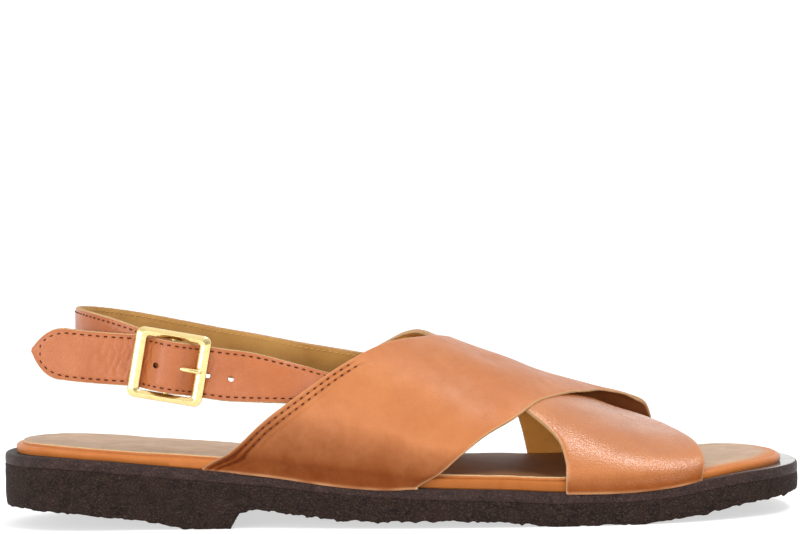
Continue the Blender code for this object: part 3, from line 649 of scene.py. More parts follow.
def close_ring(ring, first, start, columns, height):
    """Rungs that close a ring of points; returns the new points and the faces."""
    count = len(ring)
    pairs = count // 2 - 1
    medial = ring[1:pairs + 1]
    lateral = ring[count - 1 - np.arange(pairs)]
    share = (np.arange(columns) + 1.0) / (columns + 1)
    inner = medial[:, None] + (lateral - medial)[:, None] * share[None, :, None]
    inner[..., 2] = height(inner)
    index = np.empty((pairs, columns + 2), int)
    index[:, 0] = first + 1 + np.arange(pairs)
    index[:, -1] = first + count - 1 - np.arange(pairs)
    index[:, 1:-1] = start + np.arange(pairs * columns).reshape(pairs, columns)
    corners = [index[:-1, :-1], index[1:, :-1], index[1:, 1:], index[:-1, 1:]]
    faces = np.stack(corners, axis=-1).reshape(-1, 4).tolist()
    heel, toe = first, first + 1 + pairs
    faces += [[heel, a, b] for a, b in zip(index[0, :-1], index[0, 1:])]
    faces += [[b, a, toe] for a, b in zip(index[-1, :-1], index[-1, 1:])]
    return inner.reshape(-1, 3), faces


def sole_layer(name, rings, columns, underside, top, materials, side_slots=0, top_slot=0):
    """Closed layer from rings of points, the lowest first, and the heights of its two faces."""
    rings = np.asarray(rings)
    levels, count = rings.shape[:2]
    side = quads(levels, count, wrap=True)[:, ::-1].tolist()
    low_points, low_faces = close_ring(rings[0], 0, levels * count, columns, underside)
    after = levels * count + len(low_points)
    high_points, high_faces = close_ring(rings[-1], (levels - 1) * count, after, columns, top)
    points = np.concatenate([rings.reshape(-1, 3), low_points, high_points])
    faces = side + low_faces + [face[::-1] for face in high_faces]
    slots = np.repeat(np.broadcast_to(side_slots, levels - 1), count).tolist()
    slots += [0] * len(low_faces) + [top_slot] * len(high_faces)
    return make_mesh(name, points, faces, materials, slots)


def station_of(points):
    return points[..., 0] + LENGTH / 2


def outsole_top(station):
    return sole_top(station) - MIDSOLE_THICK - SEAT_GAP


CREPE_LEVELS, CREPE_COLUMNS = 26, 50
CREPE_ROUND, CREPE_TUCK = 0.35, 0.25    # how far the side curls in at its lower and its upper edge
ROUND_POWER, TUCK_POWER, RAG_POWER = 8, 14, 6
CREPE_SUNK = 0.15       # how far in the lumps start, so that few stand past the outline
CREPE_RAG = table("station depth", [     # how far the torn lower edge wanders
    (0, 0.30), (40, 0.38), (80, 0.38), (105, 0.60), (190, 0.62), (235, 0.50), (268, 0.35),
])
crepe_rag_depth = Profile(CREPE_RAG, "depth")


def crepe_relief(points):
    """Lumps and crumb of the crepe's side."""
    flat = points * np.array([1.0, 1.0, 1.7])
    return layered_noise(flat, (0.10, 6.0, 11), (0.09, 2.2, 12), (0.10, 1.1, 13))


def crepe_rag(points):
    """Nodules and notches of the torn lower edge."""
    flat = points * np.array([1.0, 1.0, 0.0])
    nodules = layered_noise(flat, (0.8, 2.1, 21), (0.7, 1.1, 22))
    return crepe_rag_depth(station_of(points)) * np.where(nodules > 0, 0.8 * nodules, 1.2 * nodules)


def crepe_underside(points):
    rough = layered_noise(points, (0.35, 3.0, 31), (0.25, 1.4, 32)) + 0.25
    return np.maximum(tread(station_of(points)) + rough, 0.0)


def build_outsole():
    def top(station):
        return outsole_top(station) + SEAT_GAP / 2

    rings = []
    for share in np.linspace(0, 1, CREPE_LEVELS):
        inset = CREPE_ROUND * (1 - share) ** ROUND_POWER + CREPE_TUCK * share ** TUCK_POWER
        ring = ring_at(inset, lambda s: blend(tread(s), top(s), share))
        ring = pushed_out(ring, crepe_relief(ring) - CREPE_SUNK)
        ring[:, 2] = np.maximum(ring[:, 2] + crepe_rag(ring) * (1 - share) ** RAG_POWER, 0.0)
        rings.append(ring)
    sole = sole_layer("crepe_outsole", rings, CREPE_COLUMNS, crepe_underside, lambda p: top(station_of(p)),
                      [CREPE])
    seat(sole, "crepe_rubber", "outsole")


MIDSOLE_SIDE = table("inset share", [
    (0.45, -0.03), (0.32, 0.0), (0.26, 0.08), (0.22, 0.26), (0.20, 0.45), (0.22, 0.62),
    (0.28, 0.78), (0.40, 0.90), (0.62, 0.97), (0.95, 1.0),
])
MIDSOLE_COLUMNS = 14
# Where the midsole's rim turns polished towards the toe, with its colour painted paler as a painted
# reflection.
RIM_SHEEN_FROM, RIM_SHEEN_RUN = 218.0, 32.0


def build_midsole():
    def level(station, share):
        return sole_top(station) - MIDSOLE_THICK * (1 - share)

    rings = []
    for row in MIDSOLE_SIDE:
        ring = ring_at(row.inset, lambda s: level(s, row.share))
        rings.append(pushed_out(ring, layered_noise(ring, (0.08, 9.0, 41), (0.05, 2.5, 42))))
    sole = sole_layer("midsole_band", rings, MIDSOLE_COLUMNS,
                      lambda p: level(station_of(p), MIDSOLE_SIDE[0].share),
                      lambda p: sole_top(station_of(p)), [MIDSOLE, MIDSOLE_RIM], top_slot=1)
    # Polish towards the toe, and a painted reflection as paler rim colour.
    add_values(sole, "rub_and_sheen", smooth((station_of(places_of(sole)) - RIM_SHEEN_FROM) / RIM_SHEEN_RUN))
    seat(sole, "midsole_rubber", "midsole")


FOOTBED_ROLL = 1.1
FOOTBED_LEVELS = 9
FOOTBED_FOOT = table("inset rise", [(0.5, 0.0), (0.15, 0.35)])      # its lower edge, tucked in on the midsole
# Stretch under the vamp straps where the footbed and the sock are painted darker as painted shade.
STRAP_SHADE_FROM, STRAP_SHADE_TO, STRAP_SHADE_RUN, STRAP_SHADE_SHARE = 112.0, 222.0, 26.0, 0.9
# FOOTBED_DARK is painted shade on the footbed under the vamp straps.
FOOTBED_DARK = 0.42
BED_COLUMNS = 30


def footbed_inset(station):
    return FEATHER_INSET + UPPER_WALL + SEAT_GAP + footbed_extra(station)


def footbed_top(station):
    return sole_top(station) + SEAT_GAP + footbed_thick(station)


def footbed_surface(points):
    """Top of the footbed, slightly uneven."""
    return footbed_top(station_of(points)) + layered_noise(points, (0.10, 18.0, 51), (0.04, 5.0, 52))


def under_straps(station):
    """Share from 0 to 1 of the stretch that lies under the vamp straps."""
    return smooth((station - STRAP_SHADE_FROM) / STRAP_SHADE_RUN) * smooth((STRAP_SHADE_TO - station) / STRAP_SHADE_RUN)


def build_footbed():
    edge = footbed_inset(EDGE_LINE[:, 0])
    rings = [ring_at(edge + row.inset, lambda s: sole_top(s) + row.rise) for row in FOOTBED_FOOT]
    for turn in np.linspace(0, np.pi / 2, FOOTBED_LEVELS):
        inset = edge + FOOTBED_ROLL * (1 - math.cos(turn))
        drop = FOOTBED_ROLL * (1 - math.sin(turn))
        rings.append(ring_at(inset, lambda s: footbed_top(s) - drop))
    rings[-1][:, 2] = footbed_surface(rings[-1])
    bed = sole_layer("footbed_cover", rings, BED_COLUMNS, lambda p: sole_top(station_of(p)), footbed_surface,
                     [FOOTBED_LEATHER])
    # Painted shade on the footbed where the vamp straps cover it.
    add_values(bed, "burnish_and_shade", FOOTBED_DARK * under_straps(station_of(places_of(bed))))
    seat(bed, "footbed_leather", "footbed")


RUBBED_FROM, RUBBED_RUN = 214.0, 22.0
RUBBED_SIDE, RUBBED_TIP = 1.3, 4.0     # how far in the nap is rubbed, along the sides and at the tip
RUBBED_TIP_FROM, RUBBED_TIP_RUN = 246.0, 12.0
PRESSED_RUN = 3.2       # how far in the sock's edge is pressed down to a slope round the toe
PRESSED_OUT = 1.0       # how far out the pressed edge spreads there
PRESSED_CURVE = 1.5
SOCK_LEVELS = (0.0, 0.4, 0.72, 1.0)
SOCK_RAG, SOCK_TUCK = 0.16, 0.25
SOCK_FACE, SOCK_CUT, SOCK_LEATHER = 0, 1, 2


def toe_rub(points):
    """How far the sock's nap is rubbed off round the rim of the toe."""
    near = KDTree(len(EDGE_LINE))
    for index, spot in enumerate(EDGE_LINE):
        near.insert((*spot, 0.0), index)
    near.balance()
    station = station_of(points)
    distance = np.array([near.find((at, point[1], 0.0))[2] for at, point in zip(station, points)])
    inside = np.maximum(distance - footbed_inset(station) - SOCK_INSET, 0.0)
    width = blend(RUBBED_SIDE, RUBBED_TIP, smooth((station - RUBBED_TIP_FROM) / RUBBED_TIP_RUN))
    return smooth((station - RUBBED_FROM) / RUBBED_RUN) * bump_at(inside, width)


def build_sock():
    """Thin lining sheet on the whole footbed, with a ragged cut edge."""
    def top(points):
        return footbed_surface(points) + SEAT_GAP + SOCK_THICK + 0.06 * noise(points, 3.0, 62)

    def underside(points):
        return footbed_top(station_of(points)) - SEAT_GAP

    edge = footbed_inset(EDGE_LINE[:, 0]) + SOCK_INSET
    pressed = smooth((EDGE_LINE[:, 0] - RUBBED_FROM) / RUBBED_RUN)
    rings = []
    for share in SOCK_LEVELS:
        ragged = SOCK_RAG * noise(np.column_stack([EDGE_LINE, np.full(len(EDGE_LINE), share)]), 1.3, 61)
        slope = pressed * (PRESSED_RUN * share ** PRESSED_CURVE - PRESSED_OUT)
        ring = ring_at(edge + ragged + SOCK_TUCK * share ** 3 + slope, footbed_top)
        ring[:, 2] = blend(underside(ring), top(ring), share)
        rings.append(ring)
    sock = sole_layer("insole_sock_lining", rings, BED_COLUMNS, underside, top,
                      [SOCK, SOCK_EDGE, FOOTBED_LEATHER], side_slots=[SOCK_LEATHER, SOCK_LEATHER, SOCK_CUT])
    slots = np.array([face.material_index for face in sock.data.polygons], np.int32)
    station = station_of(np.array([face.center for face in sock.data.polygons]) / MM)
    slots[station > RUBBED_FROM + RUBBED_RUN / 2] = SOCK_FACE   # the nap runs out over the pressed edge
    sock.data.polygons.foreach_set("material_index", slots)
    places = places_of(sock)
    add_values(sock, "rub_and_sheen", toe_rub(places))
    # Painted shade on the sock under the vamp straps.
    add_values(sock, "strap_shade", STRAP_SHADE_SHARE * under_straps(station_of(places)))
    seat(sock, "sock_lining", "insole_sock")


# Straps
OUTER_ROUND, INNER_ROUND, ROUND_STEPS = 0.55, 0.35, 4
EDGE_ROUGH, EDGE_ROUGH_SIZE = 0.07, 0.9
FACE, INSIDE, CUT_EDGE = 0, 1, 2


def edge_profile(outer, inner, column, inward):
    """Rounded cut edge of a strap, from its outer face to its inner one."""
    out = unit(outer[:, column] - outer[:, inward])
    up = unit(outer[:, column] - inner[:, column])
    turns = np.linspace(0, np.pi / 2, ROUND_STEPS + 1)
    points = []
    for turn in turns:
        centre = outer[:, column] - (out + up) * OUTER_ROUND
        points.append(centre + (up * math.cos(turn) + out * math.sin(turn)) * OUTER_ROUND)
    for turn in turns:
        centre = inner[:, column] - (out - up) * INNER_ROUND
        points.append(centre + (out * math.cos(turn) - up * math.sin(turn)) * INNER_ROUND)
    profile = np.stack(points, axis=1)
    rough = EDGE_ROUGH * noise(profile, EDGE_ROUGH_SIZE, 71)
    rough[:, [0, -1]] = 0.0
    return profile + out[:, None] * rough[..., None]


def strap_mesh(name, outer, inner, materials):
    """Closed strap between matching grids of its faces; slots follow FACE, INSIDE and CUT_EDGE."""
    rows, columns = outer.shape[:2]
    front = edge_profile(outer, inner, -1, -2)
    back = edge_profile(outer, inner, 0, 1)[:, ::-1]
    ring = np.concatenate([outer[:, 1:-1], front, inner[:, -2:0:-1], back], axis=1)
    width, turn = columns - 2, front.shape[1]
    count = ring.shape[1]
    tags = np.array([FACE] * (width + 2) + [CUT_EDGE] * (turn - 3) + [INSIDE] * (width + 2)
                    + [CUT_EDGE] * (turn - 3) + [FACE] * 2)
    slots = np.tile(np.where(tags == np.roll(tags, -1), tags, CUT_EDGE), rows - 1)
    faces = quads(rows, count, wrap=True).tolist()
    pairs = [(k, 2 * width + turn - 1 - k) for k in range(width)]
    pairs += [(width + k, width + turn - 1 - k) for k in range(turn // 2)]
    pairs = [(count - turn // 2 + k, count - turn // 2 - 1 - k) for k in range(turn // 2)] + pairs
    for row, way in ((0, -1), (rows - 1, 1)):
        for (a, b), (c, d) in zip(pairs, pairs[1:]):
            faces.append([row * count + k for k in (a, c, d, b)[::way]])
    slots = np.concatenate([slots, np.full(len(faces) - len(slots), CUT_EDGE)])
    return make_mesh(name, ring, faces, materials, slots, sharp=60.0)


EDGE_POINTS = 2 * (ROUND_STEPS + 1)


def add_strap_values(thing, name, face, inside=None):
    """Store a grid of values on a strap: on its face, the edges beside it and its inside."""
    inside = np.zeros(face.shape) if inside is None else inside
    front = np.repeat(face[:, -1:], EDGE_POINTS, axis=1)
    back = np.repeat(face[:, :1], EDGE_POINTS, axis=1)
    add_values(thing, name, np.concatenate([face[:, 1:-1], front, inside[:, -2:0:-1], back], axis=1))


def half_reach(station, angle):
    lateral = -(lateral_width(station) * end_taper(station) - FEATHER_INSET)
    medial = medial_width(station) * end_taper(station) - FEATHER_INSET
    return np.where(angle <= 90, lateral, medial)


def last_point(station, angle):
    """Point on the last at a station and an angle round it; the straps' outer faces lie on it."""
    power = section_power(station)
    turn = np.radians(angle)
    ridge = ridge_offset(station)
    reach = half_reach(station, angle) - ridge
    across = ridge + reach * np.abs(np.cos(turn)) ** (2 / power)
    rise = ridge_height(station) * np.maximum(0.0, np.sin(turn)) ** (2 / power)
    return np.stack([station - LENGTH / 2, across, sole_top(station) + SEAT_GAP + rise], axis=-1)


LAST_STEP = 0.5         # millimetres or degrees to the neighbours that give the last's directions


def last_normal(station, angle):
    """Outward direction at a point of the last."""
    step = LAST_STEP
    along = last_point(station + step, angle) - last_point(station - step, angle)
    around = last_point(station, np.minimum(angle + step, 180.0)) - last_point(
        station, np.maximum(angle - step, 0.0))
    return unit(np.cross(along, around))


def climb_share(station, angle):
    """How far the over strap has climbed onto the under strap."""
    inside = np.minimum(station - under_back(angle), under_front(angle) - station)
    return smooth((inside + CLIMB) / CLIMB)


def over_lift(station, angle, across):
    """Rise of the over strap: onto the under strap, and free of it towards its front edge."""
    free = front_lift(angle) * smooth((across - FRONT_LIFT_FROM) / (1 - FRONT_LIFT_FROM))
    climb = climb_share(station, angle) * (UPPER_WALL - JOIN_DEPTH)
    return free + climb * (1 - smooth(free / FREE_RISE))


def no_lift(station, angle, across):
    return np.zeros(np.broadcast(station, angle, across).shape)


class VampStrap:
    """One wide strap over the last: its edges, and its outer face at any angle and share of its width."""

    def __init__(self, rows, lift):
        self.back, self.front = Profile(rows, "back"), Profile(rows, "front")
        self.lift = lift

    def station(self, angle, across):
        return blend(self.back(angle), self.front(angle), across)

    def face(self, angle, across):
        station = self.station(angle, across)
        normal = last_normal(station, angle)
        return last_point(station, angle) + normal * self.lift(station, angle, across)[..., None], normal

    def rim(self, angle, across):
        """Distances in from the back and the front edge, square to them."""
        distances = []
        step = LAST_STEP
        station = self.station(angle, across)
        for edge in (self.back, self.front):
            high, low = np.minimum(angle + step, 180.0), np.maximum(angle - step, 0.0)
            along = unit(last_point(edge(high), high) - last_point(edge(low), low))
            width = last_point(edge(angle) + step, angle) - last_point(edge(angle) - step, angle)
            square = width - along * np.sum(width * along, axis=-1, keepdims=True)
            distances.append(np.abs(station - edge(angle)) * np.linalg.norm(square, axis=-1) / (2 * step))
        return distances

    def line(self, angles, distance):
        """Points and normals on the outer face along the back edge, in from it by a distance."""
        shares = np.linspace(0.0, SEAM_SEARCH, SEAM_STEPS)
        grid_angle, grid_share = np.meshgrid(angles, shares, indexing="ij")
        rims, _ = self.rim(grid_angle, grid_share)
        chosen = np.array([np.interp(distance, rim, shares) for rim in rims])
        return self.face(angles, chosen)


STITCH_ROWS = [1.6, 3.45]
STITCH_GROOVE = 0.5
SEAM_RELIEF = table("distance width rise", [     # the stitches' grooves, and the facing's edge beyond them
    (STITCH_ROWS[0], STITCH_GROOVE, -0.22), (STITCH_ROWS[1], STITCH_GROOVE, -0.22),
    (4.9, 0.55, 0.24), (6.0, 0.6, -0.12),
])
SEAM_FADE = 3.0         # degrees over which a seam's relief dies out
SEAM_SEARCH, SEAM_STEPS = 0.35, 40      # share of the width that is searched for a seam's line, and its steps
OVER_SEAM_ANGLES = (0.6, 39.5)
UNDER_SEAM_ANGLES = (130.0, 178.0)
OVER_CREASES = table("station angle to_station to_angle width depth", [
    (128, 30, 150, 18, 7.0, 0.35),
    (150, 46, 172, 40, 6.0, 0.25),
    (150, 80, 176, 70, 5.0, 0.18),
    (186, 118, 206, 140, 4.5, 0.25),
])
UNDER_CREASES = table("station angle to_station to_angle width depth", [
    (196, 30, 226, 34, 4.0, 0.22),
    (204, 62, 226, 66, 4.5, 0.18),
    (132, 142, 150, 160, 6.0, 0.30),
])
FLARE = table("station out down", [     # how far the straps' ends lap over the edge of the midsole
    (76, 0.0, 0.0), (90, 1.15, 0.2), (110, 1.25, 0.9), (124, 1.3, 1.1), (132, 1.2, 0.7),
    (137.5, 1.0, 0.15), (146, 0.0, 0.0), (180, 0.9, 0.0), (188, 1.15, 0.3), (200, 1.2, 0.5),
    (214, 1.1, 0.3), (224, 0.9, 0.1), (232, 0.0, 0.0),
])
FLARE_HIGH = 4.0
flare_out = Profile(FLARE, "out")
flare_down = Profile(FLARE, "down")
AROUND_STEPS = 190
FOOT_ANGLES = np.array([0.02, 0.06, 0.12, 0.2])     # rows close to the sole
SEAM_BAND = 0.11        # share of the width, from the back edge, that has the seam
ACROSS = np.concatenate([np.linspace(0, SEAM_BAND, 31)[:-1], np.linspace(SEAM_BAND, 1, 62)])
ANGLE_CROWDING = 0.6
EDGE_DROP, EDGE_DROP_RUN = 0.28, 1.5
FOOT_SUNK = 0.15        # how far the straps' ends go down past the midsole's top
BROAD_WAVE, BROAD_SIZE = 0.16, 21.0
FINE_WAVE, FINE_SIZE = 0.05, 6.0
# STITCH_DARK is painted shade in the stitch grooves of the vamp straps.
STITCH_DARK = 0.30
LIP_PALE, RIM_WORN = 0.42, 0.30         # how pale the ends are along the sole, and how pale the edges are worn
CREASE_FADE, CREASE_RIDGE = 0.3, 0.45
LIP_HIGH, RIM_WORN_WIDTH = 0.3, 0.5
DYE_SHADE_FROM, DYE_SHADE_FROM_RUN, DYE_SHADE_TO, DYE_SHADE_TO_RUN = 70.0, 25.0, 165.0, 20.0
DYE_SHADE_WIDTH = 16.0       # how far in from its free edge the over strap's inside is darkened with dye and painted shade


def crease_depth(points, creases):
    """Soft troughs along lines over the last, with a low ridge on each side."""
    total = np.zeros(points.shape[:-1])
    for crease in creases:
        start = last_point(np.float64(crease.station), np.float64(crease.angle))
        end = last_point(np.float64(crease.to_station), np.float64(crease.to_angle))
        way = end - start
        share = np.clip((points - start) @ way / (way @ way), 0, 1)
        distance = np.linalg.norm(points - (start + share[..., None] * way), axis=-1)
        fade = smooth(share / CREASE_FADE) * smooth((1 - share) / CREASE_FADE)
        ridge = CREASE_RIDGE * bump_at(distance - 2 * crease.width, crease.width)
        total += crease.depth * (bump_at(distance, crease.width) - ridge) * fade
    return total


def strap_grid():
    """Angles round the last and shares of a strap's width, close together at the sole and the seam."""
    share = np.linspace(0, 1, AROUND_STEPS + 1)
    angles = 180.0 * (share - ANGLE_CROWDING * np.sin(2 * np.pi * share) / (2 * np.pi))
    angles = np.sort(np.concatenate([angles, FOOT_ANGLES, 180.0 - FOOT_ANGLES]))
    return np.meshgrid(angles, ACROSS, indexing="ij")


def strap_lap(angle, station, height):
    """Shift that laps a strap's end over the edge of the midsole."""
    low = 1 - smooth(height / FLARE_HIGH)
    sideways = np.where(angle < 90, LATERAL, MEDIAL) * flare_out(station)
    return low[..., None] * np.stack([np.zeros(low.shape), sideways, -flare_down(station)], axis=-1)


def dye_and_shade_share(angle, rim_front):
    """Where the inside of a strap is darkened along its front edge, over the top of the foot: dye soaked in,
    together with painted shade.
    """
    near_edge = smooth((DYE_SHADE_WIDTH - rim_front) / DYE_SHADE_WIDTH * 2)
    return near_edge * smooth((angle - DYE_SHADE_FROM) / DYE_SHADE_FROM_RUN) * smooth((DYE_SHADE_TO - angle) / DYE_SHADE_TO_RUN)


def build_vamp_strap(name, strap, material, creases, seam_angles, seed, burnish_and_shade, join=0.0, dye_and_shade=0.0):
    """Wide strap with its seam, creases and soft waves, and the values that its material reads."""
    angle, across = strap_grid()
    face, normal = strap.face(angle, across)
    station = strap.station(angle, across)
    height = face[..., 2] - sole_top(station)
    rim_back, rim_front = strap.rim(angle, across)
    rim = np.minimum(rim_back, rim_front)
    first, last = seam_angles
    on = smooth((angle - first + SEAM_FADE) / SEAM_FADE) * smooth((last + SEAM_FADE - angle) / SEAM_FADE)
    crease = crease_depth(face, creases)
    wave = BROAD_WAVE * noise(face, BROAD_SIZE, seed) - crease
    seam = sum(row.rise * bump_at(rim_back - row.distance, row.width) for row in SEAM_RELIEF)
    relief = wave + on * seam - EDGE_DROP * (1 - smooth(rim / EDGE_DROP_RUN))
    relief += FINE_WAVE * noise(face, FINE_SIZE, seed + 1)
    lap = strap_lap(angle, station, height)
    outer = face + normal * relief[..., None] + lap
    inner = face + normal * (wave - UPPER_WALL + join * climb_share(station, angle))[..., None] + lap
    for row in (0, -1):
        outer[row, :, 2] -= SEAT_GAP + FOOT_SUNK
        inner[row, :, 2] -= SEAT_GAP + FOOT_SUNK
    thing = strap_mesh(name, outer, inner, [material, VAMP_LINING, EDGE])
    # Painted shade along the stitch grooves, added to the darkening low down.
    grooves = on * sum(bump_at(rim_back - row, STITCH_GROOVE) for row in STITCH_ROWS)
    add_strap_values(thing, "burnish_and_shade", burnish_and_shade(height, station, rim) + STITCH_DARK * grooves)
    # Painted shade in the troughs of the creases.
    add_strap_values(thing, "crease", np.clip(crease, 0, 1))
    # Paler line along the strap's foot where it meets the sole.
    lip = (0.55 + 0.45 * noise(face, 5.0, seed + 2)) * bump_at(height - SEAT_GAP, LIP_HIGH)
    add_strap_values(thing, "worn", LIP_PALE * lip + RIM_WORN * bump_at(rim, RIM_WORN_WIDTH))
    # Painted shade with soaked dye on the over strap's inside near its free edge.
    add_strap_values(thing, "dye_and_shade", np.zeros(rim.shape), dye_and_shade * dye_and_shade_share(angle, rim_front))
    return thing


# How dark the over strap is at heights above the sole: darker dye together with painted shade
OVER_BURNISH_AND_SHADE = table("height dark", [
    (0.0, 0.72), (1.5, 0.84), (4.0, 0.86), (6.5, 0.73), (9.0, 0.63), (11.5, 0.57), (14.5, 0.46),
    (17.0, 0.34), (19.5, 0.20), (22.0, 0.06), (24.0, 0.0),
])
burnish_and_shade_at = Profile(OVER_BURNISH_AND_SHADE, "dark")
BURNISH_SHADE_FROM, BURNISH_SHADE_RUN = 98.0, 56.0
BURNISH_SHADE_BACK, BURNISH_SHADE_FRONT = 1.06, 0.6     # stretch of those heights at the strap's back and its front
# Painted shade with darker dye on the under strap's lowest millimetres above the sole.
UNDER_DARK, UNDER_DARK_HIGH = 0.85, 8.0
OVER_EDGE_DARK, UNDER_EDGE_DARK, EDGE_DARK_WIDTH = 0.08, 0.10, 1.2


def over_burnish_and_shade(height, station, rim):
    """Darker low down, as dye together with painted shade, less far up towards the toe, and a little along
    the edges.
    """
    reach = blend(BURNISH_SHADE_BACK, BURNISH_SHADE_FRONT, smooth((station - BURNISH_SHADE_FROM) / BURNISH_SHADE_RUN))
    return burnish_and_shade_at(height / reach) + OVER_EDGE_DARK * bump_at(rim, EDGE_DARK_WIDTH)


def under_burnish_and_shade(height, station, rim):
    # Painted shade and darker dye low down near the sole, and a little along the edges.
    low = smooth((UNDER_DARK_HIGH - height) / UNDER_DARK_HIGH)
    return UNDER_DARK * low + UNDER_EDGE_DARK * bump_at(rim, EDGE_DARK_WIDTH)


over_strap = VampStrap(OVER_STRAP, over_lift)
under_strap = VampStrap(UNDER_STRAP, no_lift)


def build_upper():
    under = build_vamp_strap("under_strap", under_strap, UNDER_LEATHER, UNDER_CREASES, UNDER_SEAM_ANGLES, 81,
                             under_burnish_and_shade)
    over = build_vamp_strap("over_strap", over_strap, OVER_LEATHER, OVER_CREASES, OVER_SEAM_ANGLES, 91,
                            over_burnish_and_shade, join=JOIN_DEPTH, dye_and_shade=0.9)
    seat(under, "strap_leather", "upper")
    seat(over, "strap_leather", "upper")


# Narrow straps
def turned(angle):
    return math.cos(math.radians(angle)), math.sin(math.radians(angle))


BUCKLE_CENTRE = np.array([BUCKLE_STATION - LENGTH / 2, BUCKLE_SIDE, BUCKLE_HEIGHT])
TILT_COS, TILT_SIN = turned(BUCKLE_TILT)
BUCKLE_ALONG = np.array([TILT_COS, 0.0, -TILT_SIN])
BUCKLE_OUT = np.array([0.0, -1.0, 0.0])
BUCKLE_UP = np.array([TILT_SIN, 0.0, TILT_COS])
CHAPE_RADIUS = BAR_RADIUS + SEAT_GAP + CHAPE_THICK / 2
STRAP_OVER_BAR = -BAR_RECESS + CHAPE_RADIUS + CHAPE_THICK / 2 + SEAT_GAP + STRAP_THICK / 2
STRAP_UNDER_FRAME = -(FRAME_THICK / 2 + SEAT_GAP + STRAP_THICK / 2)
END_BAR_REACH = (FRAME_LONG - FRAME_END_BAR) / 2


def at_buckle(along, out, up=0.0):
    """Point near the buckle, from its frame's centre."""
    return BUCKLE_CENTRE + BUCKLE_ALONG * along + BUCKLE_OUT * out + BUCKLE_UP * up


def path_row(centre, up, thick):
    return np.concatenate([centre, up, [thick]])


def held_point(row, side):
    """Path of a narrow strap that is sewn inside a vamp strap."""
    station = float(row.station)

    def inner_face(height):
        share = (height - sole_top(station) - SEAT_GAP) / ridge_height(station)
        power, ridge = section_power(station), ridge_offset(station)
        reach = half_reach(station, 0.0 if side == LATERAL else 180.0) - ridge
        face = ridge + reach * (1 - share ** power) ** (1 / power)
        return face - side * (UPPER_WALL * WALL_SLANT + HOLD_GAP + STRAP_THICK / 2)

    low, high = inner_face(row.height - STRAP_WIDTH / 2), inner_face(row.height + STRAP_WIDTH / 2)
    up = unit(np.array([0.0, high - low, STRAP_WIDTH]))
    return path_row(np.array([station - LENGTH / 2, (low + high) / 2, row.height]), up, STRAP_THICK)


def free_point(row):
    """Path of a narrow strap between its ends; lean is the tilt of its upper edge towards +Y."""
    upright, sideways = turned(row.lean)
    centre = np.array([row.station - LENGTH / 2, row.side, row.height])
    return path_row(centre, np.array([0.0, sideways, upright]), STRAP_THICK)


def spline(points, steps):
    """Smooth run of path rows through the given ones."""
    points = np.asarray(points)
    run = []
    for i in range(len(points) - 1):
        before, start = points[max(i - 1, 0)], points[i]
        end, after = points[i + 1], points[min(i + 2, len(points) - 1)]
        for t in np.arange(steps) / steps:
            leave, arrive = (end - before) / 2, (after - start) / 2
            bend = leave * t * (1 - t) ** 2 - arrive * t * t * (1 - t)
            run.append(start + (end - start) * smooth(t) + bend)
    return run + [points[-1]]


PATH_STEP, PATH_SOFTEN = 0.55, 5
TAIL_STEPS, BUCKLE_STEPS, SEWN_STEPS, SLING_STEPS = 16, 60, 12, 14


def even_path(path):
    """Path rows at even steps along its line, with small kinks eased."""
    path = np.asarray(path)
    length = run_length(path[:, :3])
    at = np.linspace(0, length[-1], int(length[-1] / PATH_STEP))
    run = np.stack([np.interp(at, length, column) for column in path.T], axis=1)
    for _ in range(PATH_SOFTEN):
        run[1:-1] = (run[:-2] + 2 * run[1:-1] + run[2:]) / 4
    return run, at


def strap_out(along):
    """How far out the buckle strap's middle lies: over the centre bar and under both end bars."""
    down = smooth((abs(along) - STRAP_LEVEL) / (END_BAR_REACH - 2 * STRAP_LEVEL))
    return blend(STRAP_OVER_BAR, STRAP_UNDER_FRAME, down)


def buckle_strap_path():
    """From the tip through the buckle to the end under the near vamp strap."""
    path = spline([free_point(row) for row in STRAP_TAIL][::-1], TAIL_STEPS)
    for along in np.linspace(-FRAME_LONG / 2, FRAME_LONG / 2, BUCKLE_STEPS):
        path.append(path_row(at_buckle(along, strap_out(along)), BUCKLE_UP, STRAP_THICK))
    sewn = [held_point(row, LATERAL) for row in STRAP_SEWN]
    return path + spline((sewn + [free_point(row) for row in STRAP_FREE])[::-1], SEWN_STEPS)


def heel_sling_path():
    """From under the far vamp strap round the heel, and round the buckle's centre bar."""
    sewn = [held_point(row, MEDIAL) for row in SLING_SEWN]
    path = spline(sewn + [free_point(row) for row in SLING_FREE], SLING_STEPS)
    for turn in np.radians(np.linspace(CHAPE_FOLD_FROM, CHAPE_FOLD_TO, CHAPE_FOLD_STEPS)):
        centre = at_buckle(CHAPE_RADIUS * math.cos(turn), -BAR_RECESS - CHAPE_RADIUS * math.sin(turn))
        path.append(path_row(centre, BUCKLE_UP, CHAPE_THICK))
    return path


class Ribbon:
    """Narrow strap along a path: its outer face at any point of its length and width."""

    def __init__(self, path, width_at):
        self.path, self.at = even_path(path)
        centre, self.thick = self.path[:, :3], self.path[:, 6]
        along = unit(np.gradient(centre, axis=0))
        up = self.path[:, 3:6]
        self.up = unit(up - along * np.sum(up * along, axis=1, keepdims=True))
        self.out = np.cross(along, self.up)
        self.width = width_at(self.at)

    def line(self, offset, first=0.0, last=None, inside=False, sunk=0.0):
        """Points and normals of one face along the strap, at offsets up from its middle."""
        use = (self.at >= first) & (self.at <= (self.at[-1] if last is None else last))
        side = -1.0 if inside else 1.0
        offset = np.broadcast_to(offset, self.at.shape)[use]
        normal = self.out[use] * side
        rise = self.thick[use] / 2 - sunk
        points = self.path[use, :3] + self.up[use] * offset[:, None] + normal * rise[:, None]
        return points, normal


def tip_width(from_tip):
    """Width of the buckle strap at a distance from its rounded point."""
    share = np.minimum(from_tip / TIP_LONG, 1.0)
    return STRAP_WIDTH * np.maximum(TIP_BLUNT, 1 - (1 - share) ** TIP_POWER) ** TIP_FULLNESS


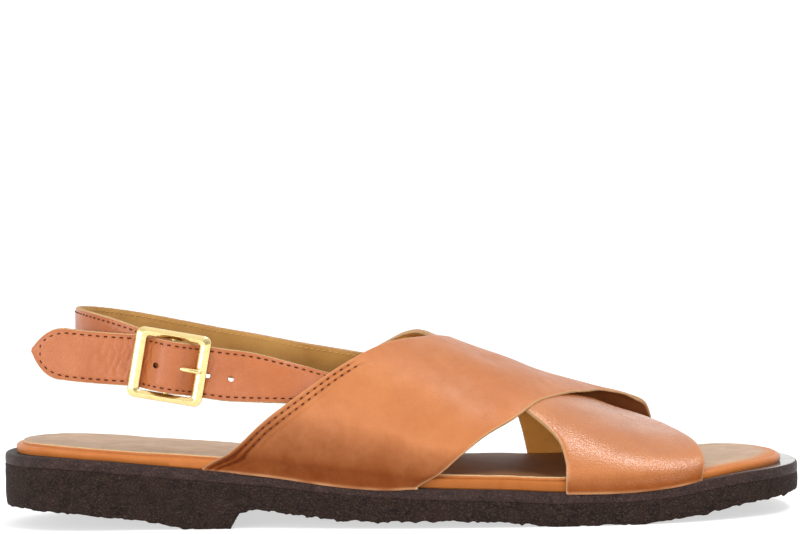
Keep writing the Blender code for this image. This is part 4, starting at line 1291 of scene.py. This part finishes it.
def sewn_taper(from_end):
    """Share of the buckle strap's width at a distance from its sewn end."""
    return blend(SEWN_SHARE, 1.0, smooth(from_end / SEWN_TAPER))


def buckle_strap_width(at):
    return tip_width(at) * sewn_taper(at[-1] - at)


NARROW_COLUMNS = 46
SEAM_IN = 1.45          # from a narrow strap's edge in to its stitches
EDGE_BEVEL = 0.42       # how much thinner a narrow strap is at its edges
INNER_BEVEL, INNER_BEVEL_RUN = 0.12, 1.2
NARROW_GROOVE, NARROW_GROOVE_WIDTH = 0.20, 0.5
SEAM_STOP = 2.0         # length over which the groove dies out at the seam's end
# NARROW_SEAM_DARK is painted shade along the stitch groove.
NARROW_EDGE_DARK, NARROW_SEAM_DARK, NARROW_DARK_WIDTH = 0.12, 0.10, 0.8
CREASE_FULL = 0.25      # depth at which a wrinkle is fully dark with painted shade


def build_ribbon(name, ribbon, materials, creases, seed, plain_from):
    """Narrow strap with thinned edges, a stitch groove, and creases across it."""
    share = np.linspace(-0.5, 0.5, NARROW_COLUMNS)[None, :]
    offset = share * ribbon.width[:, None]
    along = np.broadcast_to(ribbon.at[:, None], offset.shape)
    rim = ribbon.width[:, None] / 2 - np.abs(offset)
    centre = ribbon.path[:, None, :3] + ribbon.up[:, None] * offset[..., None]
    sewn = smooth((plain_from - along) / SEAM_STOP)
    bend = creases(along, offset)
    groove = NARROW_GROOVE * bump_at(rim - SEAM_IN, NARROW_GROOVE_WIDTH) * sewn
    relief = -EDGE_BEVEL * (1 - smooth(rim / SEAM_IN)) - groove
    relief = relief + bend + layered_noise(centre, (0.07, 7.0, seed), (0.04, 2.4, seed + 1))
    half = ribbon.thick[:, None] / 2
    outer = centre + ribbon.out[:, None] * (half + relief)[..., None]
    thinned = INNER_BEVEL * (1 - smooth(rim / INNER_BEVEL_RUN))
    inner = centre - ribbon.out[:, None] * (half - bend / 2 - thinned)[..., None]
    thing = strap_mesh(name, outer, inner, materials)
    dark = NARROW_EDGE_DARK * bump_at(rim, NARROW_DARK_WIDTH)
    # Painted shade along the stitch groove.
    dark = dark + NARROW_SEAM_DARK * bump_at(rim - SEAM_IN, NARROW_DARK_WIDTH) * sewn
    add_strap_values(thing, "burnish_and_shade", dark)
    # Painted shade in the wrinkles' troughs.
    add_strap_values(thing, "crease", np.clip(-bend / CREASE_FULL, 0, 1))
    return thing


STRAP_FOLDS = table("along up reach width depth", [
    (-13.1, 1.0, 6.0, 0.50, 0.30),
    (-14.4, -1.5, 5.0, 0.45, 0.30),
    (-15.6, 2.0, 4.5, 0.45, 0.26),
    (-16.9, -2.0, 4.5, 0.50, 0.28),
    (-18.4, 1.5, 4.0, 0.55, 0.22),
    (-20.2, -1.5, 4.5, 0.60, 0.20),
    (-22.4, 0.5, 4.0, 0.70, 0.14),
    (-25.2, -1.0, 4.0, 0.80, 0.10),
    (-7.6, 0.5, 5.0, 0.45, 0.20),
    (-6.3, -2.5, 3.5, 0.45, 0.20),
    (-5.0, 3.2, 3.0, 0.45, 0.18),
    (14.4, 1.0, 5.0, 0.50, 0.24),
    (16.0, -2.0, 4.0, 0.50, 0.22),
    (17.6, 2.5, 3.5, 0.55, 0.18),
    (24.5, -1.0, 4.0, 0.80, 0.08),
])
STRAP_TIP_TO_BUCKLE = 45.2
FOLD_WANDER, FOLD_RIDGE = 0.5, 0.6
HEEL_WRINKLE, HEEL_BEND_AT, HEEL_BEND_RUN, HEEL_WRINKLE_REACH = 0.05, 118.0, 26.0, 6.0


def strap_creases(along, offset):
    """Short wrinkles across the buckle strap where it bends at the frame."""
    total = np.zeros(along.shape)
    for row in STRAP_FOLDS:
        wander = FOLD_WANDER * np.sin(offset * 0.9 + row.along)
        distance = along - STRAP_TIP_TO_BUCKLE - row.along - wander
        fade = bump_at(offset - row.up, row.reach)
        trough = bump_at(distance, row.width) - FOLD_RIDGE * bump_at(distance - 2 * row.width, row.width)
        total -= row.depth * trough * fade
    return total


def sling_creases(along, offset):
    """Faint wrinkles where the sling bends round the heel."""
    bend = bump_at(along - HEEL_BEND_AT, HEEL_BEND_RUN) * bump_at(offset, HEEL_WRINKLE_REACH)
    return -HEEL_WRINKLE * np.sin(along * 1.1 + 0.6 * offset) * bend


def slot_cutter(name, start, end, width):
    """Block that cuts a slot for the prong through a strap at the buckle."""
    corners = [at_buckle(along, out, up) for along in (start, end) for out in (-SLOT_DEPTH, SLOT_DEPTH)
               for up in (-width / 2, width / 2)]
    faces = [[0, 1, 3, 2], [4, 6, 7, 5], [0, 4, 5, 1], [2, 3, 7, 6], [0, 2, 6, 4], [1, 5, 7, 3]]
    return make_mesh(name, corners, faces, [])


def full_width(at):
    return np.full(at.shape, STRAP_WIDTH)


buckle_ribbon = Ribbon(buckle_strap_path(), buckle_strap_width)
sling_ribbon = Ribbon(heel_sling_path(), full_width)


def build_narrow_straps():
    strap = build_ribbon("buckle_strap_leather", buckle_ribbon, [STRAP_LEATHER, LINING, EDGE], strap_creases,
                         101, buckle_ribbon.at[-1])
    for hole in HOLES:
        centre = at_buckle(hole.along, strap_out(hole.along), hole.up)
        reach = BUCKLE_OUT * 2 * STRAP_THICK
        ends = [centre - reach, centre + reach]
        cut(strap, rod_mesh("drill", ends, [HOLE_RADIUS] * 2, BUCKLE_UP, HOLE_SIDES, [EDGE]))
    cut(strap, slot_cutter("prong_slot", PRONG_SLOT_FROM, PRONG_SLOT_TO, PRONG_SLOT_WIDTH))
    seat(strap, "strap_leather", "buckle_strap")
    sling = build_ribbon("heel_sling_leather", sling_ribbon, [STRAP_LEATHER, LINING, EDGE], sling_creases,
                         111, SLING_SEAM_END)
    cut(sling, slot_cutter("chape_slot", CHAPE_SLOT_FROM, CHAPE_SLOT_TO, CHAPE_SLOT_WIDTH))
    seat(sling, "strap_leather", "heel_sling")


# Stitches
STITCH_PITCH, STITCH_RADIUS = 2.55, 0.26
SLING_PITCH = 2.1
TIP_SEAM_FROM = 2.4     # from the strap's tip in to the stitches' turn
THREAD_SIDES, THREAD_RINGS = 7, 8
THREAD_PROUD, THREAD_DIP, THREAD_FLAT = 0.10, 0.42, 0.85
SHORT_DASH, LONG_DASH = 1.35, 1.6
VAMP_SUNK, NARROW_SUNK, INNER_SUNK = 0.20, 0.22, 0.05
SLING_PLAIN = 16.0      # length of the sling's buckle end that has no stitches
SLING_SEAM_END = sling_ribbon.at[-1] - SLING_PLAIN
SEAM_LINE_STEPS = 160


def stitches(points, normals, dash, pitch=STITCH_PITCH):
    """Threads along a line on a face: each bows a little and dips into the leather at both ends."""
    length = run_length(points)
    count = int(length[-1] / pitch)
    middle = (np.arange(count) + 0.5) * length[-1] / count
    t = np.linspace(-1, 1, THREAD_RINGS)
    at = middle[:, None] + t[None, :] * dash / 2
    centre = np.stack([np.interp(at, length, column) for column in points.T], axis=-1)
    normal = unit(np.stack([np.interp(at, length, column) for column in normals.T], axis=-1))
    along = unit(np.gradient(centre, axis=1))
    side = np.cross(along, normal)
    centre = centre + normal * (THREAD_PROUD - THREAD_DIP * t[None, :, None] ** 4)
    radius = STITCH_RADIUS * np.sqrt(np.maximum(1.02 - t ** 6, 0.02))
    turn = np.linspace(0, 2 * np.pi, THREAD_SIDES, endpoint=False)
    ring = THREAD_FLAT * normal[:, :, None] * np.cos(turn)[:, None] + side[:, :, None] * np.sin(turn)[:, None]
    return (centre[:, :, None] + ring * radius[None, :, None, None]).reshape(count, -1, 3)


def stitch_piece(name, groups, material):
    """One mesh of all the stitches in some rows."""
    threads = np.concatenate(groups)
    one = rod_faces(THREAD_RINGS, THREAD_SIDES)
    per = THREAD_RINGS * THREAD_SIDES
    faces = [[corner + k * per for corner in face] for k in range(len(threads)) for face in one]
    seat(make_mesh(name, threads, faces, [material]), "strap_leather")


def build_stitches():
    rows = []
    for strap, angles in ((over_strap, OVER_SEAM_ANGLES), (under_strap, UNDER_SEAM_ANGLES)):
        for distance in STITCH_ROWS:
            points, normals = strap.line(np.linspace(*angles, SEAM_LINE_STEPS), distance)
            rows.append(stitches(points - normals * VAMP_SUNK, normals, SHORT_DASH))
    stitch_piece("vamp_stitches", rows, THREAD)

    at = buckle_ribbon.at
    from_turn = np.clip((at - TIP_SEAM_FROM) / TIP_LONG, 0, 1)
    half = (STRAP_WIDTH * sewn_taper(at[-1] - at) / 2 - SEAM_IN) * np.sqrt(1 - (1 - from_turn) ** 2)
    upper, up_normals = buckle_ribbon.line(half, first=TIP_SEAM_FROM, sunk=NARROW_SUNK)
    lower, low_normals = buckle_ribbon.line(-half, first=TIP_SEAM_FROM, sunk=NARROW_SUNK)
    around = np.concatenate([upper[::-1], lower[1:]])
    around_normals = np.concatenate([up_normals[::-1], low_normals[1:]])
    stitch_piece("buckle_strap_stitches", [stitches(around, around_normals, LONG_DASH)], THREAD)

    side = STRAP_WIDTH / 2 - SEAM_IN
    rows, pale_rows = [], []
    for offset in (side, -side):
        points, normals = sling_ribbon.line(offset, last=SLING_SEAM_END, sunk=NARROW_SUNK)
        rows.append(stitches(points, normals, SHORT_DASH, SLING_PITCH))
        points, normals = sling_ribbon.line(offset, last=SLING_SEAM_END, inside=True, sunk=INNER_SUNK)
        pale_rows.append(stitches(points, normals, LONG_DASH, SLING_PITCH))
    stitch_piece("sling_stitches", rows, THREAD)
    stitch_piece("sling_inner_stitches", pale_rows, PALE_THREAD)


# Buckle
FRAME_SECTION = table("inward out", [
    (0.00, -0.30), (0.00, 0.12), (0.01, 0.18), (0.04, 0.22), (0.20, 0.32), (0.36, 0.42),
    (0.48, 0.49), (0.50, 0.50), (0.55, 0.50), (0.57, 0.49), (0.74, 0.38), (0.96, 0.23),
    (0.99, 0.18), (1.00, 0.10), (1.00, -0.10), (1.00, -0.30), (0.95, -0.43), (0.84, -0.50),
    (0.16, -0.50), (0.05, -0.43),
])
CORNER_STEPS, SIDE_STEPS, BAR_SIDES = 12, 8, 24
PRONG_STEPS, PRONG_SIDES, PRONG_RING_STEPS = 40, 16, 32


def rounded_loop(long, high, radius):
    """Rounded rectangle as rows of lengths along and up, with steps along its straight sides."""
    loop = []
    signs = ((1, 1), (-1, 1), (-1, -1), (1, -1))
    for quarter, (along, up) in enumerate(signs):
        centre = np.array([(long / 2 - radius) * along, (high / 2 - radius) * up])
        for k in range(CORNER_STEPS + 1):
            cos, sin = turned(90 * quarter + 90 * k / CORNER_STEPS)
            loop.append(centre + radius * np.array([cos, sin]))
        next_along, next_up = signs[(quarter + 1) % 4]
        after = np.array([(long / 2 - radius) * next_along, (high / 2 - radius) * next_up])
        cos, sin = turned(90 * quarter + 90)
        end = after + radius * np.array([cos, sin])
        start = loop[-1]
        loop += [blend(start, end, k / SIDE_STEPS) for k in range(1, SIDE_STEPS)]
    return np.array(loop)


def build_buckle():
    outside = rounded_loop(FRAME_LONG, FRAME_HIGH, FRAME_ROUND)
    inside = rounded_loop(FRAME_LONG - 2 * FRAME_END_BAR, FRAME_HIGH - 2 * FRAME_SIDE_BAR, FRAME_INNER_ROUND)
    rings = []
    for row in FRAME_SECTION:
        flat = blend(outside, inside, row.inward)
        rings.append([at_buckle(along, row.out * FRAME_THICK, up) for along, up in flat])
    reach = FRAME_HIGH / 2 - BAR_END_INSET
    bar = rod_points([at_buckle(0, -BAR_RECESS, -reach), at_buckle(0, -BAR_RECESS, reach)],
                     [BAR_RADIUS] * 2, BUCKLE_ALONG, BAR_SIDES)
    count = len(rings) * len(outside)
    faces = loop_faces(len(rings), len(outside))
    faces += [[count + corner for corner in face] for face in rod_faces(len(bar), BAR_SIDES)]
    points = np.concatenate([np.reshape(rings, (-1, 3)), bar.reshape(-1, 3)])
    buckle = make_mesh("brass_buckle_frame", points, faces, [BRASS], sharp=50.0)
    seat(buckle, "buckle_brass", "buckle_frame")


def build_prong():
    shank = np.array([at_buckle(row.along, row.out) for row in PRONG_SHANK])
    radii = [row.radius for row in PRONG_SHANK]
    fine = np.linspace(0, len(shank) - 1, PRONG_STEPS)
    rows = np.arange(len(shank))
    path = np.stack([np.interp(fine, rows, column) for column in shank.T], axis=1)
    prong = rod_mesh("brass_prong", path, np.interp(fine, rows, radii), BUCKLE_UP, PRONG_SIDES, [BRASS])
    hole, half = BAR_RADIUS + SEAT_GAP, PRONG_WIDTH / 2
    turns = np.linspace(0, 2 * np.pi, PRONG_RING_STEPS, endpoint=False)
    rings = []
    for radius, up in ((hole, -half), (hole, half), (PRONG_RING, half), (PRONG_RING, -half)):
        rings.append([at_buckle(radius * math.cos(t), radius * math.sin(t) - BAR_RECESS, up) for t in turns])
    ring = make_mesh("prong_ring", rings, loop_faces(len(rings), PRONG_RING_STEPS), [BRASS])
    cut(prong, ring, "UNION")
    prong.data.shade_smooth()
    prong.data.set_sharp_from_angle(angle=math.radians(SHARP_ANGLE))
    seat(prong, "buckle_brass", "buckle_prong")


# Stage, light and camera
FLOOR_SIZE = 12.0
FLOOR_COLOUR, FLOOR_GLOW = (0.5, 0.5, 0.5), 0.60
IMAGE_WIDE, FOCAL_PIXELS, SENSOR = 800.0, 2212.0, 36.0
CAMERA_PLACE = (0.00125, -0.75, 0.095)
CAMERA_DROP = 33.9      # pixels from the picture's middle up to the horizon
CAMERA_ROLL = 0.02235   # rise of the floor line across the picture
FRONT_SKY, BACK_SKY, ZENITH_SKY = 0.30, 1.36, 1.15
HORIZON_FRONT, HORIZON_BACK = -0.98, 0.3
SKY_LOW, SKY_HIGH = 0.1, 0.95
LIGHTS = table("name place aim wide high power mirrored", [
    ("key", (0.50, -0.52, 1.20), (0.30, -0.52, 0.0), 0.72, 0.2, 8.5, True),
    ("fill", (-0.40, -1.28, 0.32), (0.0, 0.0, 0.03), 0.5, 0.6, 2.6, True),
    ("low", (-0.10, -1.40, 0.07), (0.05, 0.03, 0.035), 0.35, 0.12, 7.5, False),
    ("panel", (-0.95, -0.95, 0.20), (-0.05, 0.0, 0.04), 0.7, 0.7, 6.0, True),
])


def build_world():
    """White sky: brightest behind the shoe, bright overhead, dim in front of it."""
    world = bpy.data.worlds.new("studio")
    world.use_nodes = True
    tree = world.node_tree
    way = add_node(tree, "ShaderNodeTexCoord").outputs["Generated"]
    parts = add_node(tree, "ShaderNodeSeparateXYZ", {0: way}).outputs
    horizon = spread(tree, parts["Y"], HORIZON_FRONT, HORIZON_BACK, FRONT_SKY, BACK_SKY)
    strength = spread(tree, parts["Z"], SKY_LOW, SKY_HIGH, horizon, ZENITH_SKY)
    sky = tree.nodes["Background"]
    sky.inputs["Color"].default_value = (1.0, 1.0, 1.0, 1.0)
    tree.links.new(strength, sky.inputs["Strength"])
    bpy.context.scene.world = world


def build_stage():
    material, tree, surface = new_surface("floor")
    set_inputs(tree, surface, base_color=(*FLOOR_COLOUR, 1.0), roughness=0.9, specular_ior_level=0.0,
               emission_color=(1.0, 1.0, 1.0, 1.0), emission_strength=FLOOR_GLOW)
    half = FLOOR_SIZE / 2 / MM
    corners = [(-half, -half, 0.0), (half, -half, 0.0), (half, half, 0.0), (-half, half, 0.0)]
    make_mesh("floor", corners, [[0, 1, 2, 3]], [material])
    for row in LIGHTS:
        lamp = bpy.data.lights.new(row.name, "AREA")
        lamp.shape, lamp.size, lamp.size_y, lamp.energy = "RECTANGLE", row.wide, row.high, row.power
        thing = bpy.data.objects.new(row.name, lamp)
        bpy.context.scene.collection.objects.link(thing)
        look = Vector(row.place) - Vector(row.aim)
        thing.location = row.place
        thing.rotation_mode = "QUATERNION"
        thing.rotation_quaternion = look.to_track_quat("Z", "Y")
        thing.visible_glossy = row.mirrored


def build_camera():
    lens = bpy.data.cameras.new("camera")
    lens.sensor_width = SENSOR
    lens.lens = FOCAL_PIXELS / IMAGE_WIDE * SENSOR
    camera = bpy.data.objects.new("camera", lens)
    bpy.context.scene.collection.objects.link(camera)
    pitch = math.pi / 2 - math.atan(CAMERA_DROP / FOCAL_PIXELS)
    roll = -math.atan(CAMERA_ROLL)
    turn = Matrix.Rotation(pitch, 4, "X") @ Matrix.Rotation(roll, 4, "Z")
    camera.matrix_world = Matrix.Translation(CAMERA_PLACE) @ turn
    bpy.context.scene.camera = camera
    bpy.context.scene.view_settings.view_transform = "Standard"


build_outsole()
build_midsole()
build_footbed()
build_sock()
build_upper()
build_narrow_straps()
build_stitches()
build_buckle()
build_prong()
build_stage()
build_world()
build_camera()
